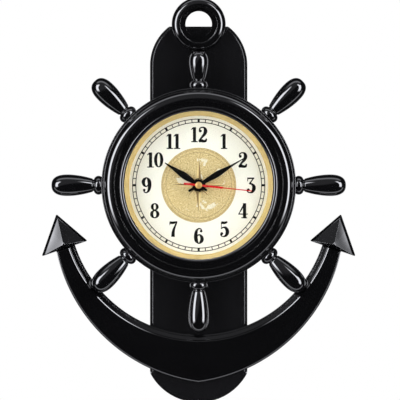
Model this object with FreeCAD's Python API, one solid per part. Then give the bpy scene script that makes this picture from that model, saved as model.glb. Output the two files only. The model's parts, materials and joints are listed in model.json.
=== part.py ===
# Wall clock in the shape of an anchor behind a ship's wheel. All lengths are in millimetres.
# The front faces -Y and +Z is up. The wall is the plane Y = 0, and the origin is the centre of the keyhole
# in the hanger plate. In this file places are given in the front view, as x to the right and z up from the
# dial's axis, with a depth that counts forward from the wall.

import FreeCAD, Part
import math
import os

Vector = FreeCAD.Vector
forward = Vector(0, -1, 0)
rightward = Vector(1, 0, 0)
os.makedirs("parts", exist_ok=True)

# Fits and small clearances
fit_gap = 0.05
seat_gap = 0.1
side_gap = 0.3
wall = 2.5
overrun = 1.0

# Backboard
hanger_above_dial = 120.0
board_depth = 20.0
board_half_width = 49.0
board_head_z = 121.0
board_flat_z = 159.9
board_foot_z = -163.6
board_foot_radius = 55.2
board_head_corner = 3.0
board_foot_corner = 6.0
board_band = 3.0
board_band_drop = 1.5
access_radius = 44.0
board_rib_thickness = 2.0
board_rib_depth = 9.0
board_rib_heights = (-70.0, 70.0)

# Screws: each set by its shank, head and length
screw_radius = 1.5
screw_head_radius = 3.0
screw_head_height = 2.0
screw_length = 11.0
screw_slot_width = 0.8
screw_slot_depth = 1.0
boss_radius = 3.6
small_screw_radius = 1.3
small_screw_head_radius = 2.5
small_screw_head_height = 1.8

# Hanger plate with its keyhole
hanger_width = 52.0
hanger_height = 26.0
hanger_thickness = 1.2
hanger_corner = 3.0
keyhole_radius = 4.5
keyhole_slot_width = 4.2
keyhole_slot_length = 9.0
hanger_screw_spacing = 36.0
hanger_boss_radius = 4.0
hanger_screw_length = 10.0

# Wheel casing
wheel_radius = 97.7
wheel_lip_radius = 74.5
wheel_edge_depth = 41.0
wheel_edge_round = 0.8
wheel_ledge_width = 1.0
wheel_crest_radius = 86.4
wheel_crest_depth = 48.2
wheel_roll_radius = 9.4
wheel_cove_radius = 82.6
wheel_cove_depth = 45.8
wheel_bead_outer_radius = 79.3
wheel_bead_foot_depth = 45.3
wheel_bead_radius = 77.3
wheel_bead_depth = 46.9
wheel_bore_radius = 77.0
glass_seat_depth = 44.5
inner_wall_thickness = 2.2
wheel_skin = 2.6

# Dial, glass and gold ring
case_back_thickness = 2.0
case_collar_thickness = 2.0
dial_plate_radius = 87.5
dial_plate_thickness = 2.0
dial_plate_depth = 27.0
dial_thickness = 0.4
medallion_radius = 37.7
medallion_thickness = 0.1
gold_inner_radius = 68.0
gold_outer_radius = 74.4
gold_foot = 0.6
glass_thickness = 1.9
plate_screw_circle_radius = 83.6
plate_screw_length = 8.0
case_screw_circle_radius = 88.0
board_screw_circle_radius = 84.0
board_screw_length = 12.0
board_screw_angles = (67.5, 112.5, 247.5, 292.5)
case_screw_angles = (22.5, 157.5, 202.5, 337.5)
plate_screw_angles = (45.0, 135.0, 225.0, 315.0)

# Handles: stations along the handle's own axis, counted from the dial's axis
handle_count = 8
handle_depth = 31.5
collar_radius = 9.3
collar_flat_end = 101.2
collar_end = 105.4
neck_radius = 5.9
grip_start = 106.2
grip_root_radius = 6.9
grip_root_end = 107.3
grip_radius = 10.85
grip_widest = 131.5
grip_swell = 119.0
grip_swell_radius = 9.65
handle_tip = 148.0
top_grip_radius = 10.1
top_grip_widest = 123.5
top_grip_swell = 114.5
top_grip_swell_radius = 8.8
top_handle_tip = 135.4
tip_round_share = 0.62
tip_fullness_share = 1.07
handle_screw_length = 14.0

# Top ring
ring_z = 162.0
ring_radius = 27.1
ring_hole_radius = 13.3
ring_side_depth = 24.6
ring_roll_radius = 25.5
ring_roll_depth = 30.2
ring_crest_radius = 21.8
ring_crest_depth = 32.8
ring_step_radius = 19.3
ring_step_depth = 31.4
ring_funnel_radius = 18.6
ring_funnel_depth = 30.2
ring_funnel_foot = 23.0
ring_groove_inner = 16.4
ring_groove_outer = 24.4
ring_groove_depth = 27.5
ring_screw_circle_radius = 20.4
ring_screw_half_angle = 42.0
ring_screw_length = 9.5

# Anchor arms: a crescent that the tips of the handles reach over. Widths are counted from its inner edge.
arm_centre_drop = 19.4
arm_tip_cover = 17.0
arm_step_width = 2.2
arm_ridge_width = 7.3
arm_boss_width = 27.4
arm_outer_width = 37.9
arm_reach_width = 54.0
arm_inner_depth = 22.6
arm_step_depth = 24.0
arm_ridge_depth = 27.2
arm_face_drop_share = 0.075
arm_outer_shift_x = 21.95
arm_outer_drop = 11.75
arm_skin = 2.2
arm_boss_half_angle = 8.7
arm_screw_length = 6.9
arm_tongue_half_width = 6.0
arm_tongue_root = 5.0

# Flukes: the arrow head on the right, mirrored for the left. It stands on the arm at its base's middle.
fluke_direction = -18.2
fluke_base_width = 11.1
fluke_half_base = 24.4
fluke_base_lean = -18.8
fluke_height = 35.7
fluke_lean = 76.6
fluke_summit_height = 4.3
fluke_side_depth = 25.6
fluke_summit_depth = 36.0
fluke_skin_share = 0.84
fluke_edge_round = 0.9
fluke_boss_share = 0.3
fluke_screw_length = 8.0

# Movement case, measured from its front face
movement_size = 56.0
movement_depth = 16.5
movement_corner = 2.0
movement_wall = 1.2
movement_front_wall = 1.6
rear_cover_thickness = 1.5
rubber_washer_thickness = 0.8
rubber_washer_radius = 9.0
bush_radius = 4.0
bush_length = 6.3
metal_washer_radius = 7.0
metal_washer_thickness = 0.5
nut_across_flats = 10.0
nut_thickness = 2.3
partition_z = -10.4
partition_thickness = 1.0
bearing_boss_radius = 1.4
bearing_boss_height = 0.8
bridge_thickness = 1.0
bridge_half_width = 26.3
bridge_top_z = 24.0
bridge_post_radius = 1.3
bridge_posts = ((-24.8, 21.0), (24.8, 21.0), (-24.8, 6.0), (24.8, -7.5))

# Gear train: tooth counts and modules
cannon_teeth = 12
minute_teeth = 36
minute_pinion_teeth = 10
hour_teeth = 40
setting_teeth = 18
second_pinion_teeth = 8
third_teeth = 64
third_pinion_teeth = 8
centre_teeth = 60
second_teeth = 40
intermediate_pinion_teeth = 8
intermediate_teeth = 48
rotor_pinion_teeth = 8
motion_module = 0.35
going_module = 0.30
second_module = 0.42
rotor_module = 0.28
gear_thickness = 0.8
pinion_extra = 0.2
addendum_share = 0.75
dedendum_share = 1.15
tooth_tip_share = 0.11
tooth_root_share = 0.25

# Gear levels: depth of each gear's rear face
intermediate_level = 12.9
second_level = 14.5
third_level = 16.5
centre_level = 18.5
bridge_level = 20.4
minute_level = 21.9
hour_level = 23.3

# Directions from one arbor to the next, in degrees counter-clockwise from the right in the front view
minute_direction = 200.0
setting_direction = 200.0
third_direction = 150.0
intermediate_direction = 20.0
rotor_direction = 60.0

# Arbors and tubes
pivot_radius = 0.4
second_arbor_radius = 0.5
cannon_tube_radius = 1.6
cannon_flange_radius = 2.4
hour_tube_radius = 2.5
setting_shaft_radius = 1.5
setting_knob_radius = 5.0
setting_knob_height = 2.4
setting_knob_back = 6.9
setting_knob_teeth = 20
setting_knob_groove = 0.35
minute_post_radius = 0.5

# Motor, board and contacts
magnet_radius = 2.8
magnet_height = 2.6
rotor_hole_radius = 3.4
stator_level = 15.8
stator_thickness = 0.8
stator_left = 2.6
stator_right = 23.0
stator_top = 24.0
stator_leg_width = 3.6
stator_bar_bottom = 5.4
stator_bar_left = 6.0
stator_shoulder_z = 15.2
coil_radius = 3.0
coil_flange_radius = 3.25
coil_flange_thickness = 0.8
core_half_height = 1.6
core_clearance = 0.2
bobbin_wall = 0.5
core_z = 19.8
circuit_left = 15.6
circuit_bottom = -9.2
circuit_width = 10.0
circuit_height = 12.0
circuit_thickness = 0.8
chip_radius = 2.2
chip_height = 0.7
chip_place_shares = (0.35, 0.3)
crystal_radius = 1.0
crystal_length = 6.0
crystal_place_share = 0.72
contact_thickness = 0.4
contact_width = 8.0
battery_radius = 7.15
battery_length = 49.2
battery_nub_radius = 2.6
battery_nub_length = 1.2
battery_z = -19.0
battery_rear_depth = 10.2
battery_right_end = 26.0

# Hands: each leaf has its half-width at the hub, then half-width and station at the start, middle and end
# of its widest stretch and at its neck
hour_hand_angle = 303.6
minute_hand_angle = 59.3
second_hand_angle = 96.2
hand_thickness = 0.5
hand_hub_radius = 6.0
hour_hand_depth = 33.1
hour_hand_length = 41.0
hour_leaf = (1.4, (3.0, 12.6), (3.5, 15.2), (3.2, 17.8), (1.0, 28.0))
hour_tail = 10.0
minute_hand_depth = 35.4
minute_hand_length = 54.0
minute_leaf = (1.2, (2.5, 15.2), (2.9, 18.2), (2.65, 21.2), (0.85, 34.0))
minute_tail = 12.0
hand_tail_half_width = 1.3
hand_tip_half_width = 0.45
second_hand_depth = 37.5
second_hand_thickness = 0.3
second_hand_length = 53.5
second_hand_step = 24.0
second_hand_half_width = 1.0
second_hand_tip_half_width = 0.5
second_hand_tail = 15.0
second_hub_radius = 3.0
hand_cap_radius = 3.5
hand_cap_height = 1.7
second_boss_radius = 1.4
second_boss_length = 1.2


# Places that follow from the driving dimensions
case_back_front = board_depth + case_back_thickness
dial_back = dial_plate_depth + dial_plate_thickness
dial_front = dial_back + dial_thickness
medallion_front = dial_front + medallion_thickness
movement_front = dial_plate_depth - rubber_washer_thickness
movement_back = movement_front - movement_depth
movement_half = movement_size / 2
case_inner_front = movement_front - movement_front_wall
cover_front = movement_back + rear_cover_thickness
bush_front = movement_front + bush_length
nut_back = medallion_front + metal_washer_thickness
nut_front = nut_back + nut_thickness
pinion_level_drop = pinion_extra / 2
minute_distance = motion_module * (cannon_teeth + minute_teeth) / 2
hour_module = 2 * minute_distance / (minute_pinion_teeth + hour_teeth)
setting_distance = motion_module * (minute_teeth + setting_teeth) / 2
centre_distance = going_module * (centre_teeth + third_pinion_teeth) / 2
third_module = 2 * centre_distance / (second_pinion_teeth + third_teeth)
intermediate_distance = second_module * (second_teeth + intermediate_pinion_teeth) / 2
rotor_distance = rotor_module * (intermediate_teeth + rotor_pinion_teeth) / 2


def polar(radius, degrees, around=(0, 0)):
    """Point in the front view at a radius and direction from another point."""
    turn = math.radians(degrees)
    return (around[0] + radius * math.cos(turn), around[1] + radius * math.sin(turn))


arm_inner_radius = handle_tip - arm_tip_cover
arm_centre = (0, -arm_centre_drop)
arm_boss_places = [
    polar(arm_inner_radius + arm_boss_width, 270 + side * arm_boss_half_angle, arm_centre) for side in (-1, 1)
]
fluke_base_middle = polar(arm_inner_radius + fluke_base_width, fluke_direction, arm_centre)
fluke_apex = polar(fluke_height, fluke_lean, fluke_base_middle)
fluke_outer = polar(fluke_half_base, fluke_base_lean, fluke_base_middle)
fluke_inner = polar(-fluke_half_base, fluke_base_lean, fluke_base_middle)
fluke_summit = polar(fluke_summit_height, fluke_lean, fluke_base_middle)
minute_place = polar(minute_distance, minute_direction)
setting_place = polar(setting_distance, setting_direction, minute_place)
third_place = polar(centre_distance, third_direction)
intermediate_place = polar(intermediate_distance, intermediate_direction)
rotor_place = polar(rotor_distance, rotor_direction, intermediate_place)


def in_front_view(x, z):
    """Front-view point as a vector in the wall plane."""
    return Vector(x, 0, z)


def in_section(radius, depth):
    """Point of a profile that is turned about the dial's axis."""
    return Vector(radius, -depth, 0)


def along_handle(station, radius):
    """Point of a profile that is turned about a handle's own axis."""
    return Vector(station, 0, radius)


def trace(start, steps, place):
    """Closed wire from a start point and steps: a point for a line, or a pair of points for an arc."""
    edges = []
    here = place(*start)
    for step in steps + [start]:
        is_arc = isinstance(step[0], tuple)
        there = place(*(step[1] if is_arc else step))
        if is_arc:
            edges.append(Part.Arc(here, place(*step[0]), there).toShape())
        elif here.distanceToPoint(there) > 0:
            edges.append(Part.LineSegment(here, there).toShape())
        here = there
    return Part.Wire(edges)


def prism(wire, back, front):
    """Solid between two depths over a front-view wire."""
    face = Part.Face(wire)
    face.translate(Vector(0, -back, 0))
    return face.extrude(Vector(0, back - front, 0))


def turned(wire, x=0, z=0):
    """Solid of a section wire turned about the depth axis through a front-view point."""
    solid = Part.Face(wire).revolve(Vector(0, 0, 0), Vector(0, 1, 0), 360)
    solid.translate(in_front_view(x, z))
    return solid


def rod(radius, back, front, place=(0, 0)):
    """Cylinder along the depth axis."""
    return Part.makeCylinder(radius, front - back, Vector(place[0], -back, place[1]), forward)


def pipe(outer, inner, back, front, place=(0, 0)):
    """Tube along the depth axis."""
    return rod(outer, back, front, place).cut(rod(inner, back, front, place))


def slab(left, right, bottom, top, back, front):
    """Box between two depths."""
    return Part.makeBox(right - left, front - back, top - bottom, Vector(left, -front, bottom))


def spin(shape, degrees, place=(0, 0)):
    """Copy of a shape turned counter-clockwise in the front view."""
    copy = shape.copy()
    copy.rotate(in_front_view(*place), forward, degrees)
    return copy


def mirrored(shape):
    """Copy of a shape on the other side of the clock's middle plane."""
    return shape.mirror(Vector(0, 0, 0), rightward)


def joined(shapes):
    """One solid from several that touch or overlap."""
    first, *rest = shapes
    return first.fuse(rest).removeSplitter() if rest else first


def inset_wire(wire, amount):
    """Wire moved inwards by an amount, with its corners kept."""
    return wire.makeOffset2D(-amount, 2)


def cross_recess(place, back, radius, depth):
    """Cross-shaped slot in the rear of a screw's head."""
    half = screw_slot_width / 2
    reach = radius - screw_slot_width
    x, z = place
    upright = slab(x - half, x + half, z - reach, z + reach, back, back + depth)
    level = slab(x - reach, x + reach, z - half, z + half, back, back + depth)
    return upright.fuse(level)


def screw(place, head_front, length, radius=screw_radius, head=screw_head_radius, height=screw_head_height):
    """Screw that goes in from behind, with its head's front face at a depth."""
    shank = rod(radius, head_front - height, head_front + length, place)
    cap = rod(head, head_front - height, head_front, place)
    body = joined([cap, shank])
    return body.cut(cross_recess(place, head_front - height, head, screw_slot_depth))


def save(node, *solids):
    """Write one node, moved from the dial's axis to the keyhole's frame."""
    shape = solids[0] if len(solids) == 1 else Part.makeCompound(list(solids))
    shape = shape.copy()
    shape.translate(Vector(0, 0, -hanger_above_dial))
    shape.exportStep(os.path.join("parts", node + ".step"))


# Places of the screws that hold the large pieces together
board_screw_places = [polar(board_screw_circle_radius, angle) for angle in board_screw_angles]
case_screw_places = [polar(case_screw_circle_radius, angle) for angle in case_screw_angles]
plate_screw_places = [polar(plate_screw_circle_radius, angle) for angle in plate_screw_angles]
ring_screw_places = [
    polar(ring_screw_circle_radius, 270 + side * ring_screw_half_angle, (0, ring_z)) for side in (-1, 1)
]
hanger_screw_places = [(side * hanger_screw_spacing / 2, hanger_above_dial) for side in (-1, 1)]
board_front_skin = board_depth - wall


# The backboard is a moulded shell, open behind, with a sloped band along its front edge.
def board_block():
    half = board_half_width
    head_reach = board_flat_z - board_head_z
    head_x = math.sqrt(half ** 2 - head_reach ** 2)
    side = math.asin(head_reach / half) / 2
    shoulder = (half * math.cos(side), board_head_z + half * math.sin(side))
    foot_side_z = board_foot_z - math.sqrt(board_foot_radius ** 2 - half ** 2)
    steps = [
        (head_x, board_flat_z),
        (shoulder, (half, board_head_z)),
        (half, foot_side_z),
        ((0, board_foot_z - board_foot_radius), (-half, foot_side_z)),
        (-half, board_head_z),
        ((-shoulder[0], shoulder[1]), (-head_x, board_flat_z)),
    ]
    block = prism(trace((-head_x, board_flat_z), steps, in_front_view), 0, board_depth)
    for corner_x, corner_z, radius in (
        (head_x, board_flat_z, board_head_corner),
        (-head_x, board_flat_z, board_head_corner),
        (half, foot_side_z, board_foot_corner),
        (-half, foot_side_z, board_foot_corner),
    ):
        corner = [
            edge
            for edge in block.Edges
            if abs(edge.BoundBox.XLength) < fit_gap
            and abs(edge.BoundBox.ZLength) < fit_gap
            and abs(edge.CenterOfMass.x - corner_x) < fit_gap
            and abs(edge.CenterOfMass.z - corner_z) < fit_gap
        ]
        block = block.makeFillet(radius, corner)
    return block


def make_backboard():
    block = board_block()
    back_face = max(block.Faces, key=lambda face: face.CenterOfMass.y)
    front_face = min(block.Faces, key=lambda face: face.CenterOfMass.y)
    hollow = prism(inset_wire(back_face.OuterWire, wall), 0, board_front_skin)
    shell = block.makeChamfer(board_band_drop, board_band, front_face.Edges).cut(hollow)
    rib_back = board_front_skin - board_rib_depth
    ribs = []
    for height in board_rib_heights:
        half = board_rib_thickness / 2
        low, high = height - half, height + half
        rib = slab(-board_half_width, board_half_width, low, high, rib_back, board_front_skin)
        ribs.append(rib.common(hollow))
    boss_back = hanger_thickness
    bosses = [rod(hanger_boss_radius, boss_back, board_front_skin, place) for place in hanger_screw_places]
    shell = joined([shell] + ribs + bosses)
    for place in hanger_screw_places:
        shell = shell.cut(rod(small_screw_radius, boss_back, boss_back + hanger_screw_length, place))
    for place in board_screw_places + ring_screw_places + arm_boss_places:
        shell = shell.cut(rod(screw_radius + fit_gap, 0, board_depth, place))
    shell = shell.cut(rod(access_radius, 0, board_depth))
    save("backboard", shell)


# The hanger plate is sheet steel. A wall screw's head goes through the round hole, its shank up the slot.
def make_hanger():
    half_width = hanger_width / 2
    low = hanger_above_dial - hanger_height / 2
    plate = slab(-half_width, half_width, low, low + hanger_height, 0, hanger_thickness)
    corners = [edge for edge in plate.Edges if edge.BoundBox.YLength > fit_gap]
    plate = plate.makeFillet(hanger_corner, corners)
    slot_end = hanger_above_dial + keyhole_slot_length
    half_slot = keyhole_slot_width / 2
    plate = plate.cut(rod(keyhole_radius, 0, hanger_thickness, (0, hanger_above_dial)))
    plate = plate.cut(slab(-half_slot, half_slot, hanger_above_dial, slot_end, 0, hanger_thickness))
    plate = plate.cut(rod(half_slot, 0, hanger_thickness, (0, slot_end)))
    screws = []
    for place in hanger_screw_places:
        sunk = Part.makeCone(
            small_screw_head_radius, small_screw_radius, hanger_thickness, in_front_view(*place), forward
        )
        plate = plate.cut(sunk)
        shank = rod(small_screw_radius - fit_gap, 0, hanger_screw_length, place)
        recess = cross_recess(place, 0, small_screw_head_radius, screw_slot_depth / 2)
        screws.append(joined([sunk, shank]).cut(recess))
    save("hanger_plate", plate)
    save("hanger_screws", *screws)


# The wheel's casing is a hollow moulded ring: a rolled outer band, a cove, and a bead round the glass.
def make_wheel_rim():
    roll_centre_depth = wheel_crest_depth - wheel_roll_radius
    ledge_radius = wheel_radius - wheel_edge_round - wheel_ledge_width
    roll_foot = math.sqrt(wheel_roll_radius ** 2 - (wheel_edge_depth - roll_centre_depth) ** 2)
    roll_foot_radius = min(ledge_radius, wheel_crest_radius + roll_foot)
    turn = math.atan2(roll_foot, wheel_edge_depth - roll_centre_depth) / 2
    roll_middle = (
        wheel_crest_radius + wheel_roll_radius * math.sin(turn),
        roll_centre_depth + wheel_roll_radius * math.cos(turn),
    )
    edge_share = 1 - math.sqrt(0.5)
    edge_middle = (
        wheel_radius - wheel_edge_round * edge_share,
        wheel_edge_depth - wheel_edge_round * edge_share,
    )
    outer = [
        (wheel_radius, wheel_edge_depth - wheel_edge_round),
        (edge_middle, (wheel_radius - wheel_edge_round, wheel_edge_depth)),
        (roll_foot_radius, wheel_edge_depth),
        (roll_middle, (wheel_crest_radius, wheel_crest_depth)),
        ((wheel_cove_radius, wheel_cove_depth), (wheel_bead_outer_radius, wheel_bead_foot_depth)),
        ((wheel_bead_radius, wheel_bead_depth), (wheel_lip_radius, wheel_bead_foot_depth)),
        (wheel_lip_radius, glass_seat_depth),
        (wheel_bore_radius, glass_seat_depth),
        (wheel_bore_radius, dial_back),
        (wheel_bore_radius + inner_wall_thickness, dial_back),
    ]
    cavity_inner = wheel_bore_radius + inner_wall_thickness
    cavity_outer = wheel_radius - wall
    roof = [
        (cavity_inner, wheel_bead_foot_depth - wheel_skin),
        (wheel_cove_radius, wheel_cove_depth - wheel_skin),
        (wheel_crest_radius, wheel_crest_depth - wheel_skin),
        (wheel_crest_radius + wheel_roll_radius / 2, wheel_edge_depth),
        (cavity_outer, wheel_edge_depth - wheel_roll_radius / 2),
        (cavity_outer, board_depth),
    ]
    shell = turned(trace((wheel_radius, board_depth), outer + roof, in_section))
    boss_front = wheel_bead_foot_depth - wheel_skin / 2
    rear_screw_places = board_screw_places + case_screw_places
    bosses = [rod(boss_radius, case_back_front, boss_front, place) for place in rear_screw_places]
    bosses += [rod(boss_radius, dial_back, boss_front, place) for place in plate_screw_places]
    shell = joined([shell] + bosses)
    for place in board_screw_places:
        shell = shell.cut(rod(screw_radius, case_back_front, board_front_skin + board_screw_length, place))
    for place in case_screw_places:
        shell = shell.cut(rod(screw_radius, case_back_front, board_depth + screw_length, place))
    for place in plate_screw_places:
        shell = shell.cut(rod(screw_radius, dial_back, dial_plate_depth + plate_screw_length, place))
    hole = Part.makeCylinder(
        small_screw_radius + fit_gap, wheel_radius, Vector(cavity_inner, -handle_depth, 0), rightward
    )
    for number in range(handle_count):
        shell = shell.cut(spin(hole, 360 * number / handle_count))
    bore = rod(wheel_bore_radius, dial_back, glass_seat_depth)
    save("wheel_rim", shell.cut(bore))


def make_case_back():
    outer = wheel_radius - wall - seat_gap
    plate = pipe(outer, access_radius, board_depth, case_back_front)
    collar_front = dial_plate_depth - seat_gap
    collar = pipe(access_radius + case_collar_thickness, access_radius, board_depth, collar_front)
    plate = joined([plate, collar])
    for place in board_screw_places + case_screw_places:
        plate = plate.cut(rod(screw_radius + fit_gap, board_depth, case_back_front, place))
    head_height = case_back_thickness / 2
    head_front = board_depth + head_height
    for place in case_screw_places:
        plate = plate.cut(rod(screw_head_radius + fit_gap, board_depth, head_front, place))
    save("case_back", plate)
    save("case_screws", *[
        screw(place, head_front, screw_length - case_back_thickness, height=head_height)
        for place in case_screw_places
    ])
    save("board_screws", *[
        screw(place, board_front_skin, board_screw_length - seat_gap, screw_radius - fit_gap)
        for place in board_screw_places
    ])


# The dial is a printed sheet on a plastic plate, with a foil disc in its middle.
def make_dial():
    plate = pipe(dial_plate_radius, bush_radius + fit_gap, dial_plate_depth, dial_back)
    for place in plate_screw_places:
        plate = plate.cut(rod(screw_radius + fit_gap, dial_plate_depth, dial_back, place))
    for place in board_screw_places + case_screw_places:
        plate = plate.cut(rod(boss_radius + side_gap, dial_plate_depth, dial_back, place))
    save("dial_plate", plate)
    save("plate_screws", *[
        screw(place, dial_plate_depth, plate_screw_length - seat_gap, screw_radius - fit_gap)
        for place in plate_screw_places
    ])
    sheet_radius = wheel_bore_radius - side_gap
    save("dial", pipe(sheet_radius, bush_radius + fit_gap, dial_back, dial_front))
    save("medallion", pipe(medallion_radius, bush_radius + fit_gap, dial_front, medallion_front))


# The gold ring is a cone that holds the dial down and the glass up against the lip.
def make_gold_ring():
    outer = wheel_bore_radius - side_gap
    front = glass_seat_depth - seat_gap - glass_thickness
    steps = [
        (outer, dial_front),
        (outer, front),
        (gold_outer_radius, front),
        (gold_inner_radius, dial_front + gold_foot),
    ]
    save("gold_ring", turned(trace((gold_inner_radius, dial_front), steps, in_section)))


def make_glass():
    back = glass_seat_depth - seat_gap - glass_thickness
    save("glass", rod(wheel_bore_radius - side_gap, back, back + glass_thickness))


# Each handle is turned: a collar bead against the casing, a neck, and a grip that swells to a rounded tip.
def handle_profile(tip, widest, radius, swell, swell_radius):
    start = wheel_radius - wall
    round_station = widest + (tip - widest) * tip_round_share
    round_radius = radius * tip_fullness_share * math.sqrt(1 - tip_round_share ** 2)
    bead_share = math.sqrt(0.5)
    collar_round = (
        collar_flat_end + (collar_end - collar_flat_end) * bead_share,
        neck_radius + (collar_radius - neck_radius) * bead_share,
    )
    curve = Part.BSplineCurve()
    points = [
        (grip_root_end, grip_root_radius),
        (swell, swell_radius),
        (widest, radius),
        (round_station, round_radius),
        (tip, 0),
    ]
    ahead = Vector(1, 0, (swell_radius - grip_root_radius) / (swell - grip_root_end))
    inward = Vector(0, 0, -1)
    curve.interpolate([along_handle(*point) for point in points], InitialTangent=ahead, FinalTangent=inward)
    axis_start = along_handle(start, 0)
    collar_start = along_handle(start, collar_radius)
    collar_shoulder = along_handle(collar_flat_end, collar_radius)
    neck_start = along_handle(collar_end, neck_radius)
    neck_end = along_handle(grip_start, neck_radius)
    return Part.Wire([
        Part.LineSegment(axis_start, collar_start).toShape(),
        Part.LineSegment(collar_start, collar_shoulder).toShape(),
        Part.Arc(collar_shoulder, along_handle(*collar_round), neck_start).toShape(),
        Part.LineSegment(neck_start, neck_end).toShape(),
        Part.LineSegment(neck_end, along_handle(grip_root_end, grip_root_radius)).toShape(),
        curve.toShape(),
        Part.LineSegment(along_handle(tip, 0), axis_start).toShape(),
    ])


def make_handles():
    casing = rod(wheel_radius, 0, wheel_crest_depth + overrun)
    pilot_length = handle_screw_length + seat_gap
    inside = wheel_radius - wall - seat_gap
    pilot = Part.makeCylinder(small_screw_radius, pilot_length, Vector(inside, -handle_depth, 0), rightward)
    head_start = Vector(inside - small_screw_head_height, -handle_depth, 0)
    head = Part.makeCylinder(small_screw_head_radius, small_screw_head_height, head_start, rightward)
    shank_length = handle_screw_length + small_screw_head_height
    shank = Part.makeCylinder(small_screw_radius - fit_gap, shank_length, head_start, rightward)
    grip_screw = joined([head, shank])
    side_grip = (handle_tip, grip_widest, grip_radius, grip_swell, grip_swell_radius)
    top_grip = (top_handle_tip, top_grip_widest, top_grip_radius, top_grip_swell, top_grip_swell_radius)
    screws = []
    for number in range(handle_count):
        face = Part.Face(handle_profile(*(top_grip if number == 0 else side_grip)))
        grip = face.revolve(Vector(0, 0, 0), rightward, 360)
        grip.translate(Vector(0, -handle_depth, 0))
        grip = grip.cut(casing).cut(pilot)
        direction = 90 - 360 * number / handle_count
        save("handle_" + str(number + 1), spin(grip, direction))
        screws.append(spin(grip_screw, direction))
    save("handle_screws", *screws)


# The top ring is open behind in a groove, and is screwed to the board through its face.
def make_top_ring():
    steps = [
        (ring_radius, ring_side_depth),
        ((ring_roll_radius, ring_roll_depth), (ring_crest_radius, ring_crest_depth)),
        (ring_step_radius, ring_step_depth),
        (ring_funnel_radius, ring_funnel_depth),
        (ring_hole_radius, ring_funnel_foot),
        (ring_hole_radius, board_depth),
    ]
    ring = turned(trace((ring_radius, board_depth), steps, in_section), 0, ring_z)
    middle = (ring_groove_inner + ring_groove_outer) / 2
    groove_steps = [
        (ring_groove_outer, board_depth),
        (ring_groove_outer, ring_side_depth),
        (ring_crest_radius, ring_groove_depth + wall / 2),
        (middle, ring_groove_depth),
        (ring_groove_inner, ring_side_depth - wall / 2),
    ]
    groove = turned(trace((ring_groove_inner, board_depth), groove_steps, in_section), 0, ring_z)
    ring = ring.cut(groove)
    bosses = [rod(boss_radius, board_depth, ring_groove_depth + wall, place) for place in ring_screw_places]
    ring = joined([ring] + bosses)
    for place in ring_screw_places:
        ring = ring.cut(rod(screw_radius, board_depth, board_front_skin + ring_screw_length, place))
    save("top_ring", ring)
    save("ring_screws", *[
        screw(place, board_front_skin, ring_screw_length - seat_gap, screw_radius - fit_gap)
        for place in ring_screw_places
    ])


# The arms are one crescent: a stepped bevel inside, a ridge, and a face that falls to the outer edge.
def arm_blank(inset, back, front):
    """Crescent between its inner and outer arcs, moved in by an amount and cut off along the flukes."""
    reach = arm_inner_radius + arm_outer_width
    outer_z = -arm_centre_drop - arm_outer_drop
    left = rod(reach - inset, back, front, (arm_outer_shift_x, outer_z))
    right = rod(reach - inset, back, front, (-arm_outer_shift_x, outer_z))
    inner = rod(arm_inner_radius + inset, back, front, arm_centre)
    corner_x, corner_z = fluke_outer
    above = slab(corner_x - reach, corner_x + reach, corner_z - inset, corner_z + reach, back, front)
    above = spin(above, fluke_base_lean, fluke_outer)
    return left.common(right).cut(inner).cut(above).cut(mirrored(above))


def arm_surface(drop):
    """Turned block whose front is the arm's bevel and face, lowered by an amount."""
    fall = (arm_reach_width - arm_ridge_width) * arm_face_drop_share
    steps = [
        (arm_inner_radius - wall, arm_inner_depth - drop),
        (arm_inner_radius, arm_inner_depth - drop),
        (arm_inner_radius + arm_step_width, arm_step_depth - drop),
        (arm_inner_radius + arm_ridge_width, arm_ridge_depth - drop),
        (arm_inner_radius + arm_reach_width, arm_ridge_depth - fall - drop),
        (arm_inner_radius + arm_reach_width, 0),
    ]
    return turned(trace((arm_inner_radius - wall, 0), steps, in_section), *arm_centre)


def fluke_blank(share, back, lift=0):
    """Arrow head on the right: three sides up to the edge depth, then three facets to one summit."""
    corners = [fluke_apex, fluke_outer, fluke_inner]
    middle = (sum(point[0] for point in corners) / 3, sum(point[1] for point in corners) / 3)

    def shrunk(point, depth):
        x = middle[0] + (point[0] - middle[0]) * share
        z = middle[1] + (point[1] - middle[1]) * share
        return Vector(x, -depth, z)

    edge_depth = back + (fluke_side_depth - back) * share - lift
    summit_depth = edge_depth + (fluke_summit_depth - fluke_side_depth) * share
    low = [shrunk(point, back) for point in corners]
    high = [shrunk(point, edge_depth) for point in corners]
    summit = shrunk(fluke_summit, summit_depth)
    outlines = [low]
    for first in range(3):
        second = (first + 1) % 3
        outlines.append([low[first], low[second], high[second], high[first]])
        outlines.append([high[first], high[second], summit])
    faces = [Part.Face(Part.makePolygon(outline + [outline[0]])) for outline in outlines]
    solid = Part.makeSolid(Part.makeShell(faces))
    if solid.Volume < 0:
        solid.reverse()
    return solid


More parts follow.
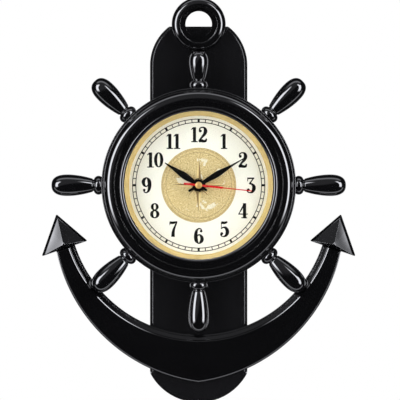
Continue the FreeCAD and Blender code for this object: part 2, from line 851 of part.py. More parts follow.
def make_anchor():
    fluke = fluke_blank(1, board_depth)
    rounded = fluke.makeFillet(fluke_edge_round, [
        edge for edge in fluke.Edges if min(vertex.Y for vertex in edge.Vertexes) < -board_depth - fit_gap
    ])
    hollow = fluke_blank(fluke_skin_share, board_depth, wall / 2)
    base_x, base_z = fluke_base_middle

    def strip(start, end, half_width, back, front):
        upright = slab(base_x - half_width, base_x + half_width, base_z + start, base_z + end, back, front)
        return spin(upright, fluke_lean - 90, fluke_base_middle)

    tongue_length = fluke_height * fluke_boss_share
    boss_place = polar(tongue_length, fluke_lean, fluke_base_middle)
    tongue_front = board_depth + wall
    notch_front = tongue_front + seat_gap
    boss = rod(boss_radius, notch_front, fluke_summit_depth, boss_place)
    notch = strip(-overrun, tongue_length, arm_tongue_half_width + side_gap, board_depth, notch_front)
    shell = joined([rounded.cut(hollow), boss.common(rounded)]).cut(notch)
    shell = shell.cut(rod(screw_radius, board_depth, board_depth + fluke_screw_length, boss_place))
    save("right_fluke", shell)
    save("left_fluke", mirrored(shell))

    outer = arm_blank(0, board_depth, arm_ridge_depth + wall).common(arm_surface(0))
    inner = arm_blank(arm_skin, board_depth, arm_ridge_depth).common(arm_surface(arm_skin * math.sqrt(2)))
    tongue_end = tongue_length + boss_radius
    tongue = strip(-arm_tongue_root, tongue_end, arm_tongue_half_width, board_depth, tongue_front)
    parts = [outer.cut(inner), tongue, mirrored(tongue)]
    for place in arm_boss_places:
        parts.append(rod(boss_radius, board_depth, arm_ridge_depth - arm_skin, place).common(outer))
    arms = joined(parts)
    fluke_screw_places = (boss_place, (-boss_place[0], boss_place[1]))
    for place in fluke_screw_places:
        arms = arms.cut(rod(screw_radius + fit_gap, board_depth, tongue_front, place))
    for place in arm_boss_places:
        arms = arms.cut(rod(screw_radius, board_depth, board_front_skin + arm_screw_length, place))
    arms = arms.cut(shell).cut(mirrored(shell))
    save("anchor_arms", max(arms.Solids, key=lambda solid: solid.Volume))
    save("arm_screws", *[
        screw(place, board_front_skin, arm_screw_length - seat_gap, screw_radius - fit_gap)
        for place in arm_boss_places
    ])
    save("fluke_screws", *[
        screw(place, board_depth, fluke_screw_length - seat_gap, screw_radius - fit_gap)
        for place in fluke_screw_places
    ])


# Gears are cut with straight-flanked teeth that leave room on both sides.
def gear(teeth, module, back, front, phase, place=(0, 0)):
    pitch_radius = teeth * module / 2
    tip = pitch_radius + module * addendum_share
    root = pitch_radius - module * dedendum_share
    pitch_angle = 360 / teeth
    points = []
    for number in range(teeth):
        middle = phase + number * pitch_angle
        for radius, share in (
            (root, -tooth_root_share),
            (tip, -tooth_tip_share),
            (tip, tooth_tip_share),
            (root, tooth_root_share),
        ):
            points.append(polar(radius, middle + share * pitch_angle, place))
    return prism(trace(points[0], points[1:], in_front_view), back, front)


def meshing_phase(driver_phase, driver_teeth, teeth, direction):
    """Phase of a gear whose teeth fill the driver's gaps, where direction leads from the driver to it."""
    offset = (driver_phase - direction) * driver_teeth / 360
    return direction + 180 - (offset + 0.5) * 360 / teeth


def make_going_train():
    pinion_front = gear_thickness + pinion_level_drop
    cover_hole = cover_front - rear_cover_thickness / 2
    bridge_front = bridge_level + bridge_thickness
    to_centre = intermediate_direction + 180
    second_phase = meshing_phase(to_centre, intermediate_pinion_teeth, second_teeth, to_centre)
    rotor_phase = meshing_phase(0, intermediate_teeth, rotor_pinion_teeth, rotor_direction)
    third_phase = meshing_phase(0, second_pinion_teeth, third_teeth, third_direction)
    centre_phase = meshing_phase(0, third_pinion_teeth, centre_teeth, third_direction + 180)

    magnet_back = stator_level + (stator_thickness - magnet_height) / 2
    rotor = joined([
        rod(pivot_radius, cover_hole, bridge_front, rotor_place),
        gear(rotor_pinion_teeth, rotor_module, intermediate_level - pinion_level_drop,
             intermediate_level + pinion_front, rotor_phase, rotor_place),
        rod(magnet_radius, magnet_back, magnet_back + magnet_height, rotor_place),
    ])
    save("rotor", rotor)
    save("intermediate_wheel", joined([
        rod(pivot_radius, cover_hole, bridge_front, intermediate_place),
        gear(intermediate_teeth, rotor_module, intermediate_level,
             intermediate_level + gear_thickness, 0, intermediate_place),
        gear(intermediate_pinion_teeth, second_module, intermediate_level + gear_thickness,
             second_level + pinion_front, to_centre, intermediate_place),
    ]))
    save("second_wheel", joined([
        rod(second_arbor_radius, cover_hole, second_hand_depth + second_hand_thickness),
        gear(second_teeth, second_module, second_level, second_level + gear_thickness, second_phase),
        gear(second_pinion_teeth, third_module, second_level + gear_thickness,
             third_level + pinion_front, 0),
    ]))
    save("third_wheel", joined([
        rod(pivot_radius, cover_hole, bridge_front, third_place),
        gear(third_teeth, third_module, third_level,
             third_level + gear_thickness, third_phase, third_place),
        gear(third_pinion_teeth, going_module, third_level + gear_thickness,
             centre_level + pinion_front, 0, third_place),
    ]))
    centre_front = centre_level + gear_thickness
    wheel = gear(centre_teeth, going_module, centre_level, centre_front, centre_phase)
    save("centre_wheel", wheel.cut(rod(cannon_tube_radius + fit_gap, centre_level, centre_front)))


def make_motion_work():
    cannon_phase = minute_direction
    minute_phase = meshing_phase(cannon_phase, cannon_teeth, minute_teeth, minute_direction)
    setting_phase = meshing_phase(minute_phase, minute_teeth, setting_teeth, setting_direction)
    pinion_phase = minute_direction + 180
    hour_phase = meshing_phase(pinion_phase, minute_pinion_teeth, hour_teeth, pinion_phase)
    minute_front = minute_level + gear_thickness
    hour_gear_front = hour_level + gear_thickness
    flange_back = centre_level - gear_thickness / 2
    cannon_front = minute_hand_depth + hand_thickness
    tube = rod(cannon_tube_radius, flange_back, cannon_front)
    flange = rod(cannon_flange_radius, flange_back, centre_level)
    pinion = gear(cannon_teeth, motion_module, minute_level - pinion_level_drop,
                  minute_front + pinion_level_drop, cannon_phase)
    cannon = joined([tube, flange, pinion])
    save("cannon_pinion", cannon.cut(rod(second_arbor_radius + fit_gap, flange_back, cannon_front)))

    wheel = joined([
        gear(minute_teeth, motion_module, minute_level, minute_front, minute_phase, minute_place),
        gear(minute_pinion_teeth, hour_module, minute_front, hour_gear_front, pinion_phase, minute_place),
    ])
    bore = rod(minute_post_radius + fit_gap, minute_level, hour_gear_front, minute_place)
    save("minute_wheel", wheel.cut(bore))

    hour_front = hour_hand_depth + hand_thickness
    hour = joined([
        gear(hour_teeth, hour_module, hour_level, hour_gear_front, hour_phase),
        rod(hour_tube_radius, hour_level, hour_front),
    ])
    save("hour_wheel", hour.cut(rod(cannon_tube_radius + fit_gap, hour_level, hour_front)))

    knob_front = setting_knob_back + setting_knob_height
    knob = rod(setting_knob_radius, setting_knob_back, knob_front, setting_place)
    for number in range(setting_knob_teeth):
        groove_place = polar(setting_knob_radius, 360 * number / setting_knob_teeth, setting_place)
        knob = knob.cut(rod(setting_knob_groove, setting_knob_back, knob_front, groove_place))
    save("setting_knob", joined([
        knob,
        rod(setting_shaft_radius, knob_front, case_inner_front - seat_gap, setting_place),
        gear(setting_teeth, motion_module, minute_level, minute_front, setting_phase, setting_place),
    ]))


def square_case(back, front, inset=0):
    """Square block of the movement with rounded corners."""
    half = movement_half - inset
    block = slab(-half, half, -half, half, back, front)
    corners = [
        edge for edge in block.Edges
        if edge.BoundBox.YLength > fit_gap
        and max(edge.BoundBox.XLength, edge.BoundBox.ZLength) < fit_gap
    ]
    return block.makeFillet(movement_corner - inset / 2, corners)


def make_movement_case():
    partition_bottom = partition_z - partition_thickness
    hollow = square_case(cover_front, case_inner_front, movement_wall)
    root_depth = case_inner_front + movement_front_wall / 2
    reach = movement_half - movement_wall / 2
    shell = joined([
        square_case(cover_front, movement_front).cut(hollow),
        slab(-reach, reach, partition_bottom, partition_z, cover_front, root_depth),
        rod(bush_radius, root_depth, bush_front),
    ])
    shell = shell.cut(rod(hour_tube_radius + fit_gap, case_inner_front, bush_front))
    save("front_case", shell)

    half = movement_half
    battery_side = slab(-half, half, -half, partition_bottom, movement_back, cover_front)
    boss_front = cover_front + bearing_boss_height
    arbors = [(0, 0), third_place, intermediate_place, rotor_place]
    raised = [rod(bearing_boss_radius, cover_front, boss_front, place) for place in arbors]
    raised += [rod(bridge_post_radius, cover_front, bridge_level, place) for place in bridge_posts]
    cover = joined([square_case(movement_back, cover_front).cut(battery_side)] + raised)
    hole_back = cover_front - rear_cover_thickness / 2
    for place, radius in zip(arbors, (second_arbor_radius, pivot_radius, pivot_radius, pivot_radius)):
        cover = cover.cut(rod(radius + fit_gap, hole_back, boss_front, place))
    cover = cover.cut(rod(setting_shaft_radius + fit_gap, movement_back, cover_front, setting_place))
    save("rear_cover", cover)


# The train bridge carries the front ends of the arbors and the post of the minute wheel.
def make_bridge():
    front = bridge_level + bridge_thickness
    half = bridge_half_width
    bridge = slab(-half, half, partition_z + side_gap, bridge_top_z, bridge_level, front)
    post = rod(minute_post_radius, front, case_inner_front - seat_gap, minute_place)
    bridge = joined([bridge, post])
    for place in (third_place, intermediate_place, rotor_place):
        bridge = bridge.cut(rod(pivot_radius + fit_gap, bridge_level, front, place))
    bridge = bridge.cut(rod(cannon_tube_radius + fit_gap, bridge_level, front))
    bridge = bridge.cut(rod(setting_shaft_radius + fit_gap, bridge_level, front, setting_place))
    save("train_bridge", bridge)


# The motor: a magnet on the rotor, a soft-iron stator round it, and a coil on its own core.
def make_motor():
    steps = [
        (stator_right, stator_bar_bottom),
        (stator_right, stator_top),
        (stator_right - stator_leg_width, stator_top),
        (stator_right - stator_leg_width, stator_shoulder_z),
        (stator_left + stator_leg_width, stator_shoulder_z),
        (stator_left + stator_leg_width, stator_top),
        (stator_left, stator_top),
        (stator_left, stator_shoulder_z - stator_leg_width),
    ]
    outline = trace((stator_bar_left, stator_bar_bottom), steps, in_front_view)
    stator_front = stator_level + stator_thickness
    stator = prism(outline, stator_level, stator_front)
    save("stator", stator.cut(rod(rotor_hole_radius, stator_level, stator_front, rotor_place)))

    core_front = stator_front + stator_thickness
    half = core_half_height
    core = slab(stator_left, stator_right, core_z - half, core_z + half, stator_front, core_front)
    save("coil_core", core)
    middle_depth = (stator_front + core_front) / 2
    left = stator_left + stator_leg_width + core_clearance
    right = stator_right - stator_leg_width - core_clearance

    def level_rod(radius, start, end):
        return Part.makeCylinder(radius, end - start, Vector(start, -middle_depth, core_z), rightward)

    hole = slab(left, right, core_z - half - seat_gap, core_z + half + seat_gap,
                stator_front - seat_gap, core_front + seat_gap)
    tube_radius = math.hypot(half + seat_gap, stator_thickness) + bobbin_wall
    bobbin = joined([
        level_rod(tube_radius, left, right),
        level_rod(coil_flange_radius, left, left + coil_flange_thickness),
        level_rod(coil_flange_radius, right - coil_flange_thickness, right),
    ])
    save("bobbin", bobbin.cut(hole))
    winding = level_rod(coil_radius, left + coil_flange_thickness, right - coil_flange_thickness)
    save("coil", winding.cut(level_rod(tube_radius, left, right)))


def make_circuit():
    front = cover_front + circuit_thickness
    right = circuit_left + circuit_width
    top = circuit_bottom + circuit_height
    board = slab(circuit_left, right, circuit_bottom, top, cover_front, front)
    for place in bridge_posts:
        board = board.cut(rod(bridge_post_radius + side_gap, cover_front, front, place))
    chip_place = (
        circuit_left + circuit_width * chip_place_shares[0],
        circuit_bottom + circuit_height * chip_place_shares[1],
    )
    chip = rod(chip_radius, front, front + chip_height, chip_place)
    save("circuit_board", joined([board, chip]))
    crystal_start = Vector(
        circuit_left + circuit_width * crystal_place_share,
        -front - crystal_radius,
        top - crystal_length - crystal_radius,
    )
    crystal = Part.makeCylinder(crystal_radius, crystal_length, crystal_start, Vector(0, 0, 1))
    save("quartz_crystal", crystal)


def make_battery():
    middle_depth = battery_rear_depth + battery_radius
    body_right = battery_right_end - battery_nub_length
    body_left = body_right - battery_length
    start = Vector(body_left, -middle_depth, battery_z)
    end = Vector(body_right, -middle_depth, battery_z)
    body = Part.makeCylinder(battery_radius, battery_length, start, rightward)
    body = body.makeChamfer(side_gap, [edge for edge in body.Edges if edge.Closed])
    nub = Part.makeCylinder(battery_nub_radius, battery_nub_length, end, rightward)
    save("battery", joined([body, nub]))

    inside = movement_half - movement_wall
    half = contact_width / 2
    for node, side, battery_end in (
        ("positive_contact", 1, battery_right_end),
        ("negative_contact", -1, body_left),
    ):
        outer = side * inside
        base = side * (inside - contact_thickness)
        tip = battery_end + side * seat_gap
        steps = [
            (outer, battery_z + half),
            (base, battery_z + half),
            (base, battery_z + half / 2),
            ((tip, battery_z), (base, battery_z - half / 2)),
            (base, battery_z - half),
        ]
        outline = trace((outer, battery_z - half), steps, in_front_view)
        save(node, prism(outline, middle_depth - half, middle_depth + half))


def make_fixings():
    bore = bush_radius + fit_gap
    save("rubber_washer", pipe(rubber_washer_radius, bore, movement_front, dial_plate_depth))
    save("metal_washer", pipe(metal_washer_radius, bore, medallion_front, nut_back))
    corner_radius = nut_across_flats / 2 / math.cos(math.radians(30))
    corners = [polar(corner_radius, 60 * number) for number in range(6)]
    nut = prism(trace(corners[0], corners[1:], in_front_view), nut_back, nut_front)
    save("hex_nut", nut.cut(rod(bore, nut_back, nut_front)))


# The hour and minute hands are leaf-shaped stampings with a round hub and a short tail. Each side of the
# leaf is straight from the hub, round at its widest, and straight again to the neck and to the tip.
def leaf_hand(length, leaf, tail, back, bore, angle):
    root, rise, widest, fall, neck = leaf
    root_place = (root, math.sqrt(hand_hub_radius ** 2 - root ** 2))
    tail_half = hand_tail_half_width
    tail_root = math.sqrt(hand_hub_radius ** 2 - tail_half ** 2)
    tip_z = length - hand_tip_half_width

    def left(place):
        return (-place[0], place[1])

    steps = [
        rise,
        (widest, fall),
        neck,
        (hand_tip_half_width, tip_z),
        ((0, length), (-hand_tip_half_width, tip_z)),
        left(neck),
        left(fall),
        (left(widest), left(rise)),
        left(root_place),
        ((-hand_hub_radius, 0), (-tail_half, -tail_root)),
        (-tail_half, tail_half - tail),
        ((0, -tail), (tail_half, tail_half - tail)),
        (tail_half, -tail_root),
        ((hand_hub_radius, 0), root_place),
    ]
    front = back + hand_thickness
    hand = prism(trace(root_place, steps, in_front_view), back, front)
    return spin(hand.cut(rod(bore, back, front)), -angle)


def make_hands():
    save("hour_hand", leaf_hand(
        hour_hand_length, hour_leaf, hour_tail,
        hour_hand_depth, hour_tube_radius, hour_hand_angle,
    ))
    save("minute_hand", leaf_hand(
        minute_hand_length, minute_leaf, minute_tail,
        minute_hand_depth, cannon_tube_radius, minute_hand_angle,
    ))
    back = second_hand_depth
    front = back + second_hand_thickness
    wide = second_hand_half_width
    narrow = second_hand_tip_half_width
    steps = [
        (wide, -second_hand_tail),
        (wide, second_hand_step),
        (narrow, second_hand_step + wide),
        (narrow, second_hand_length),
        (-narrow, second_hand_length),
        (-narrow, second_hand_step + wide),
        (-wide, second_hand_step),
    ]
    needle = joined([
        prism(trace((-wide, -second_hand_tail), steps, in_front_view), back, front),
        rod(second_hub_radius, back, front),
        rod(second_boss_radius, back - second_boss_length, back),
    ])
    needle = needle.cut(rod(second_arbor_radius, back - second_boss_length, front))
    save("second_hand", spin(needle, -second_hand_angle))
    rim = front + second_hand_thickness
    rise = hand_cap_height - second_hand_thickness
    dome_radius = (hand_cap_radius ** 2 + rise ** 2) / (2 * rise)
    half_turn = math.asin(hand_cap_radius / dome_radius) / 2
    dome_middle = (dome_radius * math.sin(half_turn), rim + rise - dome_radius * (1 - math.cos(half_turn)))
    cap_steps = [
        (hand_cap_radius, front),
        (hand_cap_radius, rim),
        (dome_middle, (0, front + hand_cap_height)),
    ]
    save("hand_cap", turned(trace((0, front), cap_steps, in_section)))


make_backboard()
make_hanger()
make_wheel_rim()
make_case_back()
make_dial()
make_gold_ring()
make_glass()
make_handles()
make_top_ring()
make_anchor()
make_going_train()
make_motion_work()
make_movement_case()
make_bridge()
make_motor()
make_circuit()
make_battery()
make_fixings()
make_hands()
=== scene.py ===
import json
import math

import bmesh
import bpy
from mathutils import Matrix, Vector

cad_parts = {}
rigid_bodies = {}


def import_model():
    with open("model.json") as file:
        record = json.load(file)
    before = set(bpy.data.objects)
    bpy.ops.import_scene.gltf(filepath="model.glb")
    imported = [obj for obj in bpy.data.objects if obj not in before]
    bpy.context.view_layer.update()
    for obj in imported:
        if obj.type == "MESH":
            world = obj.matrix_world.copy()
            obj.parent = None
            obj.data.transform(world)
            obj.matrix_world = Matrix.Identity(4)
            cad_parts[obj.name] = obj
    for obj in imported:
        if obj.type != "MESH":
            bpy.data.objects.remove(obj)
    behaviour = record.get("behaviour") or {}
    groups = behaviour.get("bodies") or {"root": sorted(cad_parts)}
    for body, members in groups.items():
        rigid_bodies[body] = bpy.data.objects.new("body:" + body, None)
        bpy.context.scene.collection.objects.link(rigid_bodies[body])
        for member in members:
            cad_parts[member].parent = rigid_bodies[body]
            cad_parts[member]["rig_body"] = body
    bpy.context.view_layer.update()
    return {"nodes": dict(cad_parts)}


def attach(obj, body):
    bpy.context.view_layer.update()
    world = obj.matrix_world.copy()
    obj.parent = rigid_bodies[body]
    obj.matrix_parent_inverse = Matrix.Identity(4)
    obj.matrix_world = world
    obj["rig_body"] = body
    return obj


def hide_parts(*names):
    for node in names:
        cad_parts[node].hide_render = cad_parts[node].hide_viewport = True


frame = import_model()


# The backboard is one open-backed moulding in black polystyrene, polished on its front. A sloped band runs
# round its edge, and a steel plate with the keyhole is screwed into the rim of its back.
mm = 0.001
axis_drop = 120.0
seat_depth = 20.0


def at(x, depth, z):
    """Place given in the front view from the dial's axis, in millimetres, with the depth from the wall."""
    return Vector((x * mm, -depth * mm, (z - axis_drop) * mm))


def feed(tree, node, inputs):
    """Gives a node's inputs their values, or joins them to a socket or to another node's first output."""
    for name, value in inputs.items():
        if isinstance(value, bpy.types.Node):
            value = value.outputs[0]
        if isinstance(value, bpy.types.NodeSocket):
            tree.links.new(value, node.inputs[name])
        else:
            node.inputs[name].default_value = value


def add(tree, kind, inputs=None, **settings):
    """New node with its settings and its inputs."""
    node = tree.nodes.new(kind)
    for name, value in settings.items():
        setattr(node, name, value)
    feed(tree, node, inputs or {})
    return node


def speckled(tree, place, scale, detail, roughness=0.5):
    """Noise over a surface."""
    sizes = {"Scale": scale, "Detail": detail, "Roughness": roughness}
    return add(tree, "ShaderNodeTexNoise", {"Vector": place, **sizes}).outputs["Fac"]


def ranged(tree, value, start, end, low=0.0, high=1.0, **settings):
    """Number that goes from low to high as a value goes from start to end."""
    limits = {"From Min": start, "From Max": end, "To Min": low, "To Max": high}
    return add(tree, "ShaderNodeMapRange", {"Value": value, **limits}, **settings)


def tinted(tree, share, first, second):
    """Colour that goes from a first to a second as a share goes from 0 to 1."""
    return add(tree, "ShaderNodeMix", {0: share, 6: first, 7: second}, data_type="RGBA").outputs[2]


def grained(tree, shader, pattern, height):
    """Raises a pattern on a shader's surface."""
    raised = add(tree, "ShaderNodeBump", {"Strength": 1.0, "Distance": height, "Height": pattern})
    feed(tree, shader, {"Normal": raised})


def bare_material(name):
    """New material, with its tree and its shader."""
    made = bpy.data.materials.new(name)
    made.use_nodes = True
    return made, made.node_tree, made.node_tree.nodes["Principled BSDF"]


def cloudy(name, first, second, patch, rough, grain, height, metallic=0.0, coat=0.0, specular=0.5):
    """Material whose colour and roughness drift in patches, with a fine grain raised on its surface."""
    made, tree, shader = bare_material(name)
    place = add(tree, "ShaderNodeTexCoord").outputs["Object"]
    drift = speckled(tree, place, 1.0 / patch, 4.0)
    grained(tree, shader, speckled(tree, place, 1.0 / grain, 3.0), height)
    feed(tree, shader, {
        "Base Color": tinted(tree, drift, (*first, 1.0), (*second, 1.0)),
        "Roughness": ranged(tree, drift, 0.3, 0.7, *rough),
        "Metallic": metallic, "Specular IOR Level": specular,
        "Coat Weight": coat, "Coat Roughness": 0.02, "Coat IOR": 1.7,
    })
    return made


def dress(node, material):
    """Gives a piece of the frame its finish."""
    slots = frame["nodes"][node].data.materials
    if len(slots) == 0:
        slots.append(material)
    for index in range(len(slots)):
        slots[index] = material


def settle(piece, body, nodes=()):
    """Puts a finished piece on its body, in place of the frame's own pieces."""
    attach(piece, body)
    if nodes:
        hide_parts(*nodes)
    return piece


def smoothed(piece):
    """Shades a piece smoothly, with its flat faces kept flat."""
    for face in piece.data.polygons:
        face.use_smooth = True
    evener = piece.modifiers.new("even", "WEIGHTED_NORMAL")
    evener.keep_sharp = True
    evener.weight = 100
    return piece


def placed(name, data):
    """New object for a mesh, a curve, a lamp or a lens."""
    piece = bpy.data.objects.new(name, data)
    bpy.context.scene.collection.objects.link(piece)
    return piece


def rounded(piece, edge, segments, turn):
    """Rounds a piece's edges where they turn by more than an angle."""
    rounding = piece.modifiers.new("edges", "BEVEL")
    rounding.width = edge * mm
    rounding.segments = segments
    rounding.limit_method = "ANGLE"
    rounding.angle_limit = math.radians(turn)


def softened(node, name, material, edge, ledge=None):
    """Copy of a frame piece with its edges rounded as the mould or the press rounds them.

    A ledge (depth of a cut, depth that it sinks to) turns a sloped band into a flat one with a step."""
    source = frame["nodes"][node]
    mesh = source.data.copy()
    mesh.materials.clear()
    mesh.materials.append(material)
    work = bmesh.new()
    work.from_mesh(mesh)
    bmesh.ops.remove_doubles(work, verts=work.verts, dist=0.000002)
    bmesh.ops.dissolve_limit(
        work, angle_limit=math.radians(0.5), verts=work.verts, edges=work.edges, delimit={"NORMAL"}
    )
    if ledge:
        cut_depth, sunk_depth = ledge
        everything = list(work.verts) + list(work.edges) + list(work.faces)
        cut = bmesh.ops.bisect_plane(
            work, geom=everything, plane_co=(0, -cut_depth * mm, 0), plane_no=(0, -1, 0)
        )["geom_cut"]
        for vertex in [item for item in cut if isinstance(item, bmesh.types.BMVert)]:
            vertex.co.y = -sunk_depth * mm
    for face in work.faces:
        face.material_index = 0
    work.to_mesh(mesh)
    work.free()
    if "custom_normal" in mesh.attributes:
        mesh.attributes.remove(mesh.attributes["custom_normal"])
    piece = placed(name, mesh)
    rounded(piece, edge, 3, 25.0)
    return settle(smoothed(piece), source["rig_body"], [node])


board_plastic = cloudy(
    "board_black", (0.0105, 0.0105, 0.0120), (0.0140, 0.0140, 0.0158), 0.06, (0.10, 0.16), 0.004, 0.000004,
    coat=0.6,
)
softened("backboard", "board_shell", board_plastic, 0.4, ledge=(19.72, 18.7))
zinc_steel = cloudy(
    "zinc_plated", (0.50, 0.50, 0.52), (0.62, 0.62, 0.64), 0.004, (0.28, 0.42), 0.0005, 0.00001, metallic=1.0
)
softened("hanger_plate", "keyhole_plate", zinc_steel, 0.2)
dress("hanger_screws", zinc_steel)


# The anchor's ring is turned in the mould, with a crest, a step and a funnel down to its hole. It is open in
# a groove behind, and two screws from the back hold it to the board.
def arc_points(start, middle, end, count):
    """Points on the arc through three points, both ends included."""
    ax, ay = start
    bx, by = middle
    cx, cy = end
    d = 2 * (ax * (by - cy) + bx * (cy - ay) + cx * (ay - by))
    a2, b2, c2 = ax * ax + ay * ay, bx * bx + by * by, cx * cx + cy * cy
    ux = (a2 * (by - cy) + b2 * (cy - ay) + c2 * (ay - by)) / d
    uy = (a2 * (cx - bx) + b2 * (ax - cx) + c2 * (bx - ax)) / d
    radius = math.hypot(ax - ux, ay - uy)
    first = math.atan2(ay - uy, ax - ux)
    last = math.atan2(cy - uy, cx - ux)
    through = math.atan2(by - uy, bx - ux)
    span = (last - first) % math.tau
    if (through - first) % math.tau > span:
        span -= math.tau
    return [
        (ux + radius * math.cos(first + span * n / count), uy + radius * math.sin(first + span * n / count))
        for n in range(count + 1)
    ]


def eased(corners, count=4):
    """Closed outline of (a, b) points and (a, b, radius) corners, each corner with a radius made an arc."""
    outline = []
    for index, corner in enumerate(corners):
        here = Vector(corner[:2])
        radius = corner[2] if len(corner) > 2 else 0
        if radius == 0:
            outline.append(tuple(here))
            continue
        before = Vector(corners[index - 1][:2]) - here
        after = Vector(corners[(index + 1) % len(corners)][:2]) - here
        half = before.angle(after) / 2
        reach = min(radius / math.tan(half), before.length * 0.48, after.length * 0.48)
        first = here + before.normalized() * reach
        last = here + after.normalized() * reach
        bulge = reach * math.tan(half)
        centre = here + (before.normalized() + after.normalized()).normalized() * math.hypot(reach, bulge)
        near = centre + (here - centre).normalized() * bulge
        outline += arc_points(tuple(first), tuple(near), tuple(last), count)
    return outline


def circle(x, y, radius, count):
    """Points round a circle."""
    return [
        (x + radius * math.cos(math.tau * n / count), y + radius * math.sin(math.tau * n / count))
        for n in range(count)
    ]


def meshed(name, work, material):
    """Piece of one material from the mesh in work."""
    mesh = bpy.data.meshes.new(name)
    work.to_mesh(mesh)
    work.free()
    mesh.materials.append(material)
    return placed(name, mesh)


def lathed(name, profile, material, sides=256, height=0.0):
    """Turned piece from a closed (radius, depth) profile, about the dial's axis or a height above it."""
    work = bmesh.new()
    rings = []
    for radius, depth in profile:
        if radius < 1e-6:
            rings.append([work.verts.new(at(0, depth, height))])
            continue
        rings.append([work.verts.new(at(x, depth, z)) for x, z in circle(0, height, radius, sides)])
    for one, two in zip(rings, rings[1:] + rings[:1]):
        if len(one) == len(two) == 1:
            continue
        for n in range(sides):
            after = (n + 1) % sides
            if len(one) == 1:
                work.faces.new((one[0], two[n], two[after]))
            elif len(two) == 1:
                work.faces.new((one[n], two[0], one[after]))
            else:
                work.faces.new((one[n], two[n], two[after], one[after]))
    bmesh.ops.recalc_face_normals(work, faces=work.faces)
    return smoothed(meshed(name, work, material))


gloss_plastic = cloudy(
    "gloss_black", (0.0032, 0.0032, 0.0038), (0.0056, 0.0056, 0.0066), 0.05, (0.05, 0.09), 0.006, 0.000004,
    coat=1.0,
)
ring_profile = eased([
    (13.3, 20.0, 0.3), (13.3, 23.0, 0.5), (18.2, 30.2, 0.4), (18.8, 32.7, 0.3),
    *arc_points((20.0, 32.8), (25.07, 30.70), (27.1, 24.6), 28)[:-1], (27.1, 24.6), (27.1, 20.0, 0.4),
    (24.4, 20.0, 0.3), (24.4, 24.6, 0.6), (21.8, 28.5, 0.6), (20.4, 27.5, 0.6), (16.4, 23.6, 0.6),
    (16.4, 20.0, 0.3),
])
anchor_ring = lathed("anchor_ring", ring_profile, gloss_plastic, height=162.0)
settle(anchor_ring, "casing", ["top_ring"])
dress("ring_screws", zinc_steel)


# The wheel's casing is a hollow ring with a rolled outer band, a cove and a bead round the glass. Its flat
# rear cover closes it, and screws from behind hold the two together and to the board.
rim_profile = eased([
    (95.2, 20.0, 0.3), (97.7, 20.0, 0.4), (97.7, 41.0, 0.8), (95.54, 41.0, 0.25),
    *arc_points((95.54, 41.0), (93.05, 45.45), (86.4, 48.2), 40)[1:],
    (84.9, 48.15, 0.12), (84.3, 46.1, 0.12), (79.4, 45.9, 0.12),
    *arc_points((79.0, 46.3), (77.9, 46.9), (75.2, 46.0), 16), (74.5, 45.5, 0.2),
    (74.5, 44.5, 0.2), (77.0, 44.5), (77.0, 29.0), (79.2, 29.0),
    (79.2, 42.7), (82.6, 43.2), (86.4, 45.6), (91.1, 41.0), (95.2, 36.3),
])
wheel_casing = lathed("wheel_casing", rim_profile, gloss_plastic, sides=384)
settle(wheel_casing, "casing", ["wheel_rim"])
satin_plastic = cloudy(
    "satin_black", (0.018, 0.018, 0.020), (0.028, 0.028, 0.030), 0.03, (0.42, 0.55), 0.0006, 0.00002
)
softened("case_back", "rear_ring", satin_plastic, 0.3)
for screw_set in ("case_screws", "board_screws", "plate_screws"):
    dress(screw_set, zinc_steel)


# Eight grips stand round the wheel, each turned in one piece: a collar against the casing, a neck, and a
# grip that swells to its rounded tip. The one under the anchor's ring is a little shorter.
grip_depth = 31.5
axis_point = at(0, 0, 0)


def grip_outline(tip, widest, radius, swell, swell_radius):
    """Half outline of a grip along its own axis, as (station, radius)."""
    neck_end = 107.3
    neck_radius = 6.9
    tip_power = 2 / 2.5
    points = [(96.9, 0.0), (96.9, 7.9)]
    points += arc_points((97.0, 8.0), (101.3, 9.5), (105.4, 5.9), 18)
    points += arc_points((105.4, 5.9), (105.85, 5.75), (106.2, 5.9), 4)[1:]
    points += arc_points((106.2, 5.9), (106.6, 6.55), (neck_end, neck_radius), 4)[1:]
    slope = (radius - neck_radius) / (widest - neck_end)
    stations = [(neck_end, neck_radius, 0.30), (swell, swell_radius, slope), (widest, radius, 0.0)]
    for (s0, r0, m0), (s1, r1, m1) in zip(stations, stations[1:]):
        width = s1 - s0
        for n in range(1, 13):
            t = n / 12
            a = 2 * t ** 3 - 3 * t ** 2 + 1
            b = t ** 3 - 2 * t ** 2 + t
            c = -2 * t ** 3 + 3 * t ** 2
            d = t ** 3 - t ** 2
            points.append((s0 + t * width, a * r0 + b * width * m0 + c * r1 + d * width * m1))
    for n in range(1, 25):
        angle = math.pi / 2 * (1 - n / 24)
        along = (tip - widest) * math.cos(angle) ** tip_power
        points.append((widest + along, radius * math.sin(angle) ** tip_power))
    points[-1] = (tip, 0.0)
    return points


def baked(source):
    """Mesh of an object as its modifiers leave it."""
    bpy.context.view_layer.update()
    return bpy.data.meshes.new_from_object(source.evaluated_get(bpy.context.evaluated_depsgraph_get()))


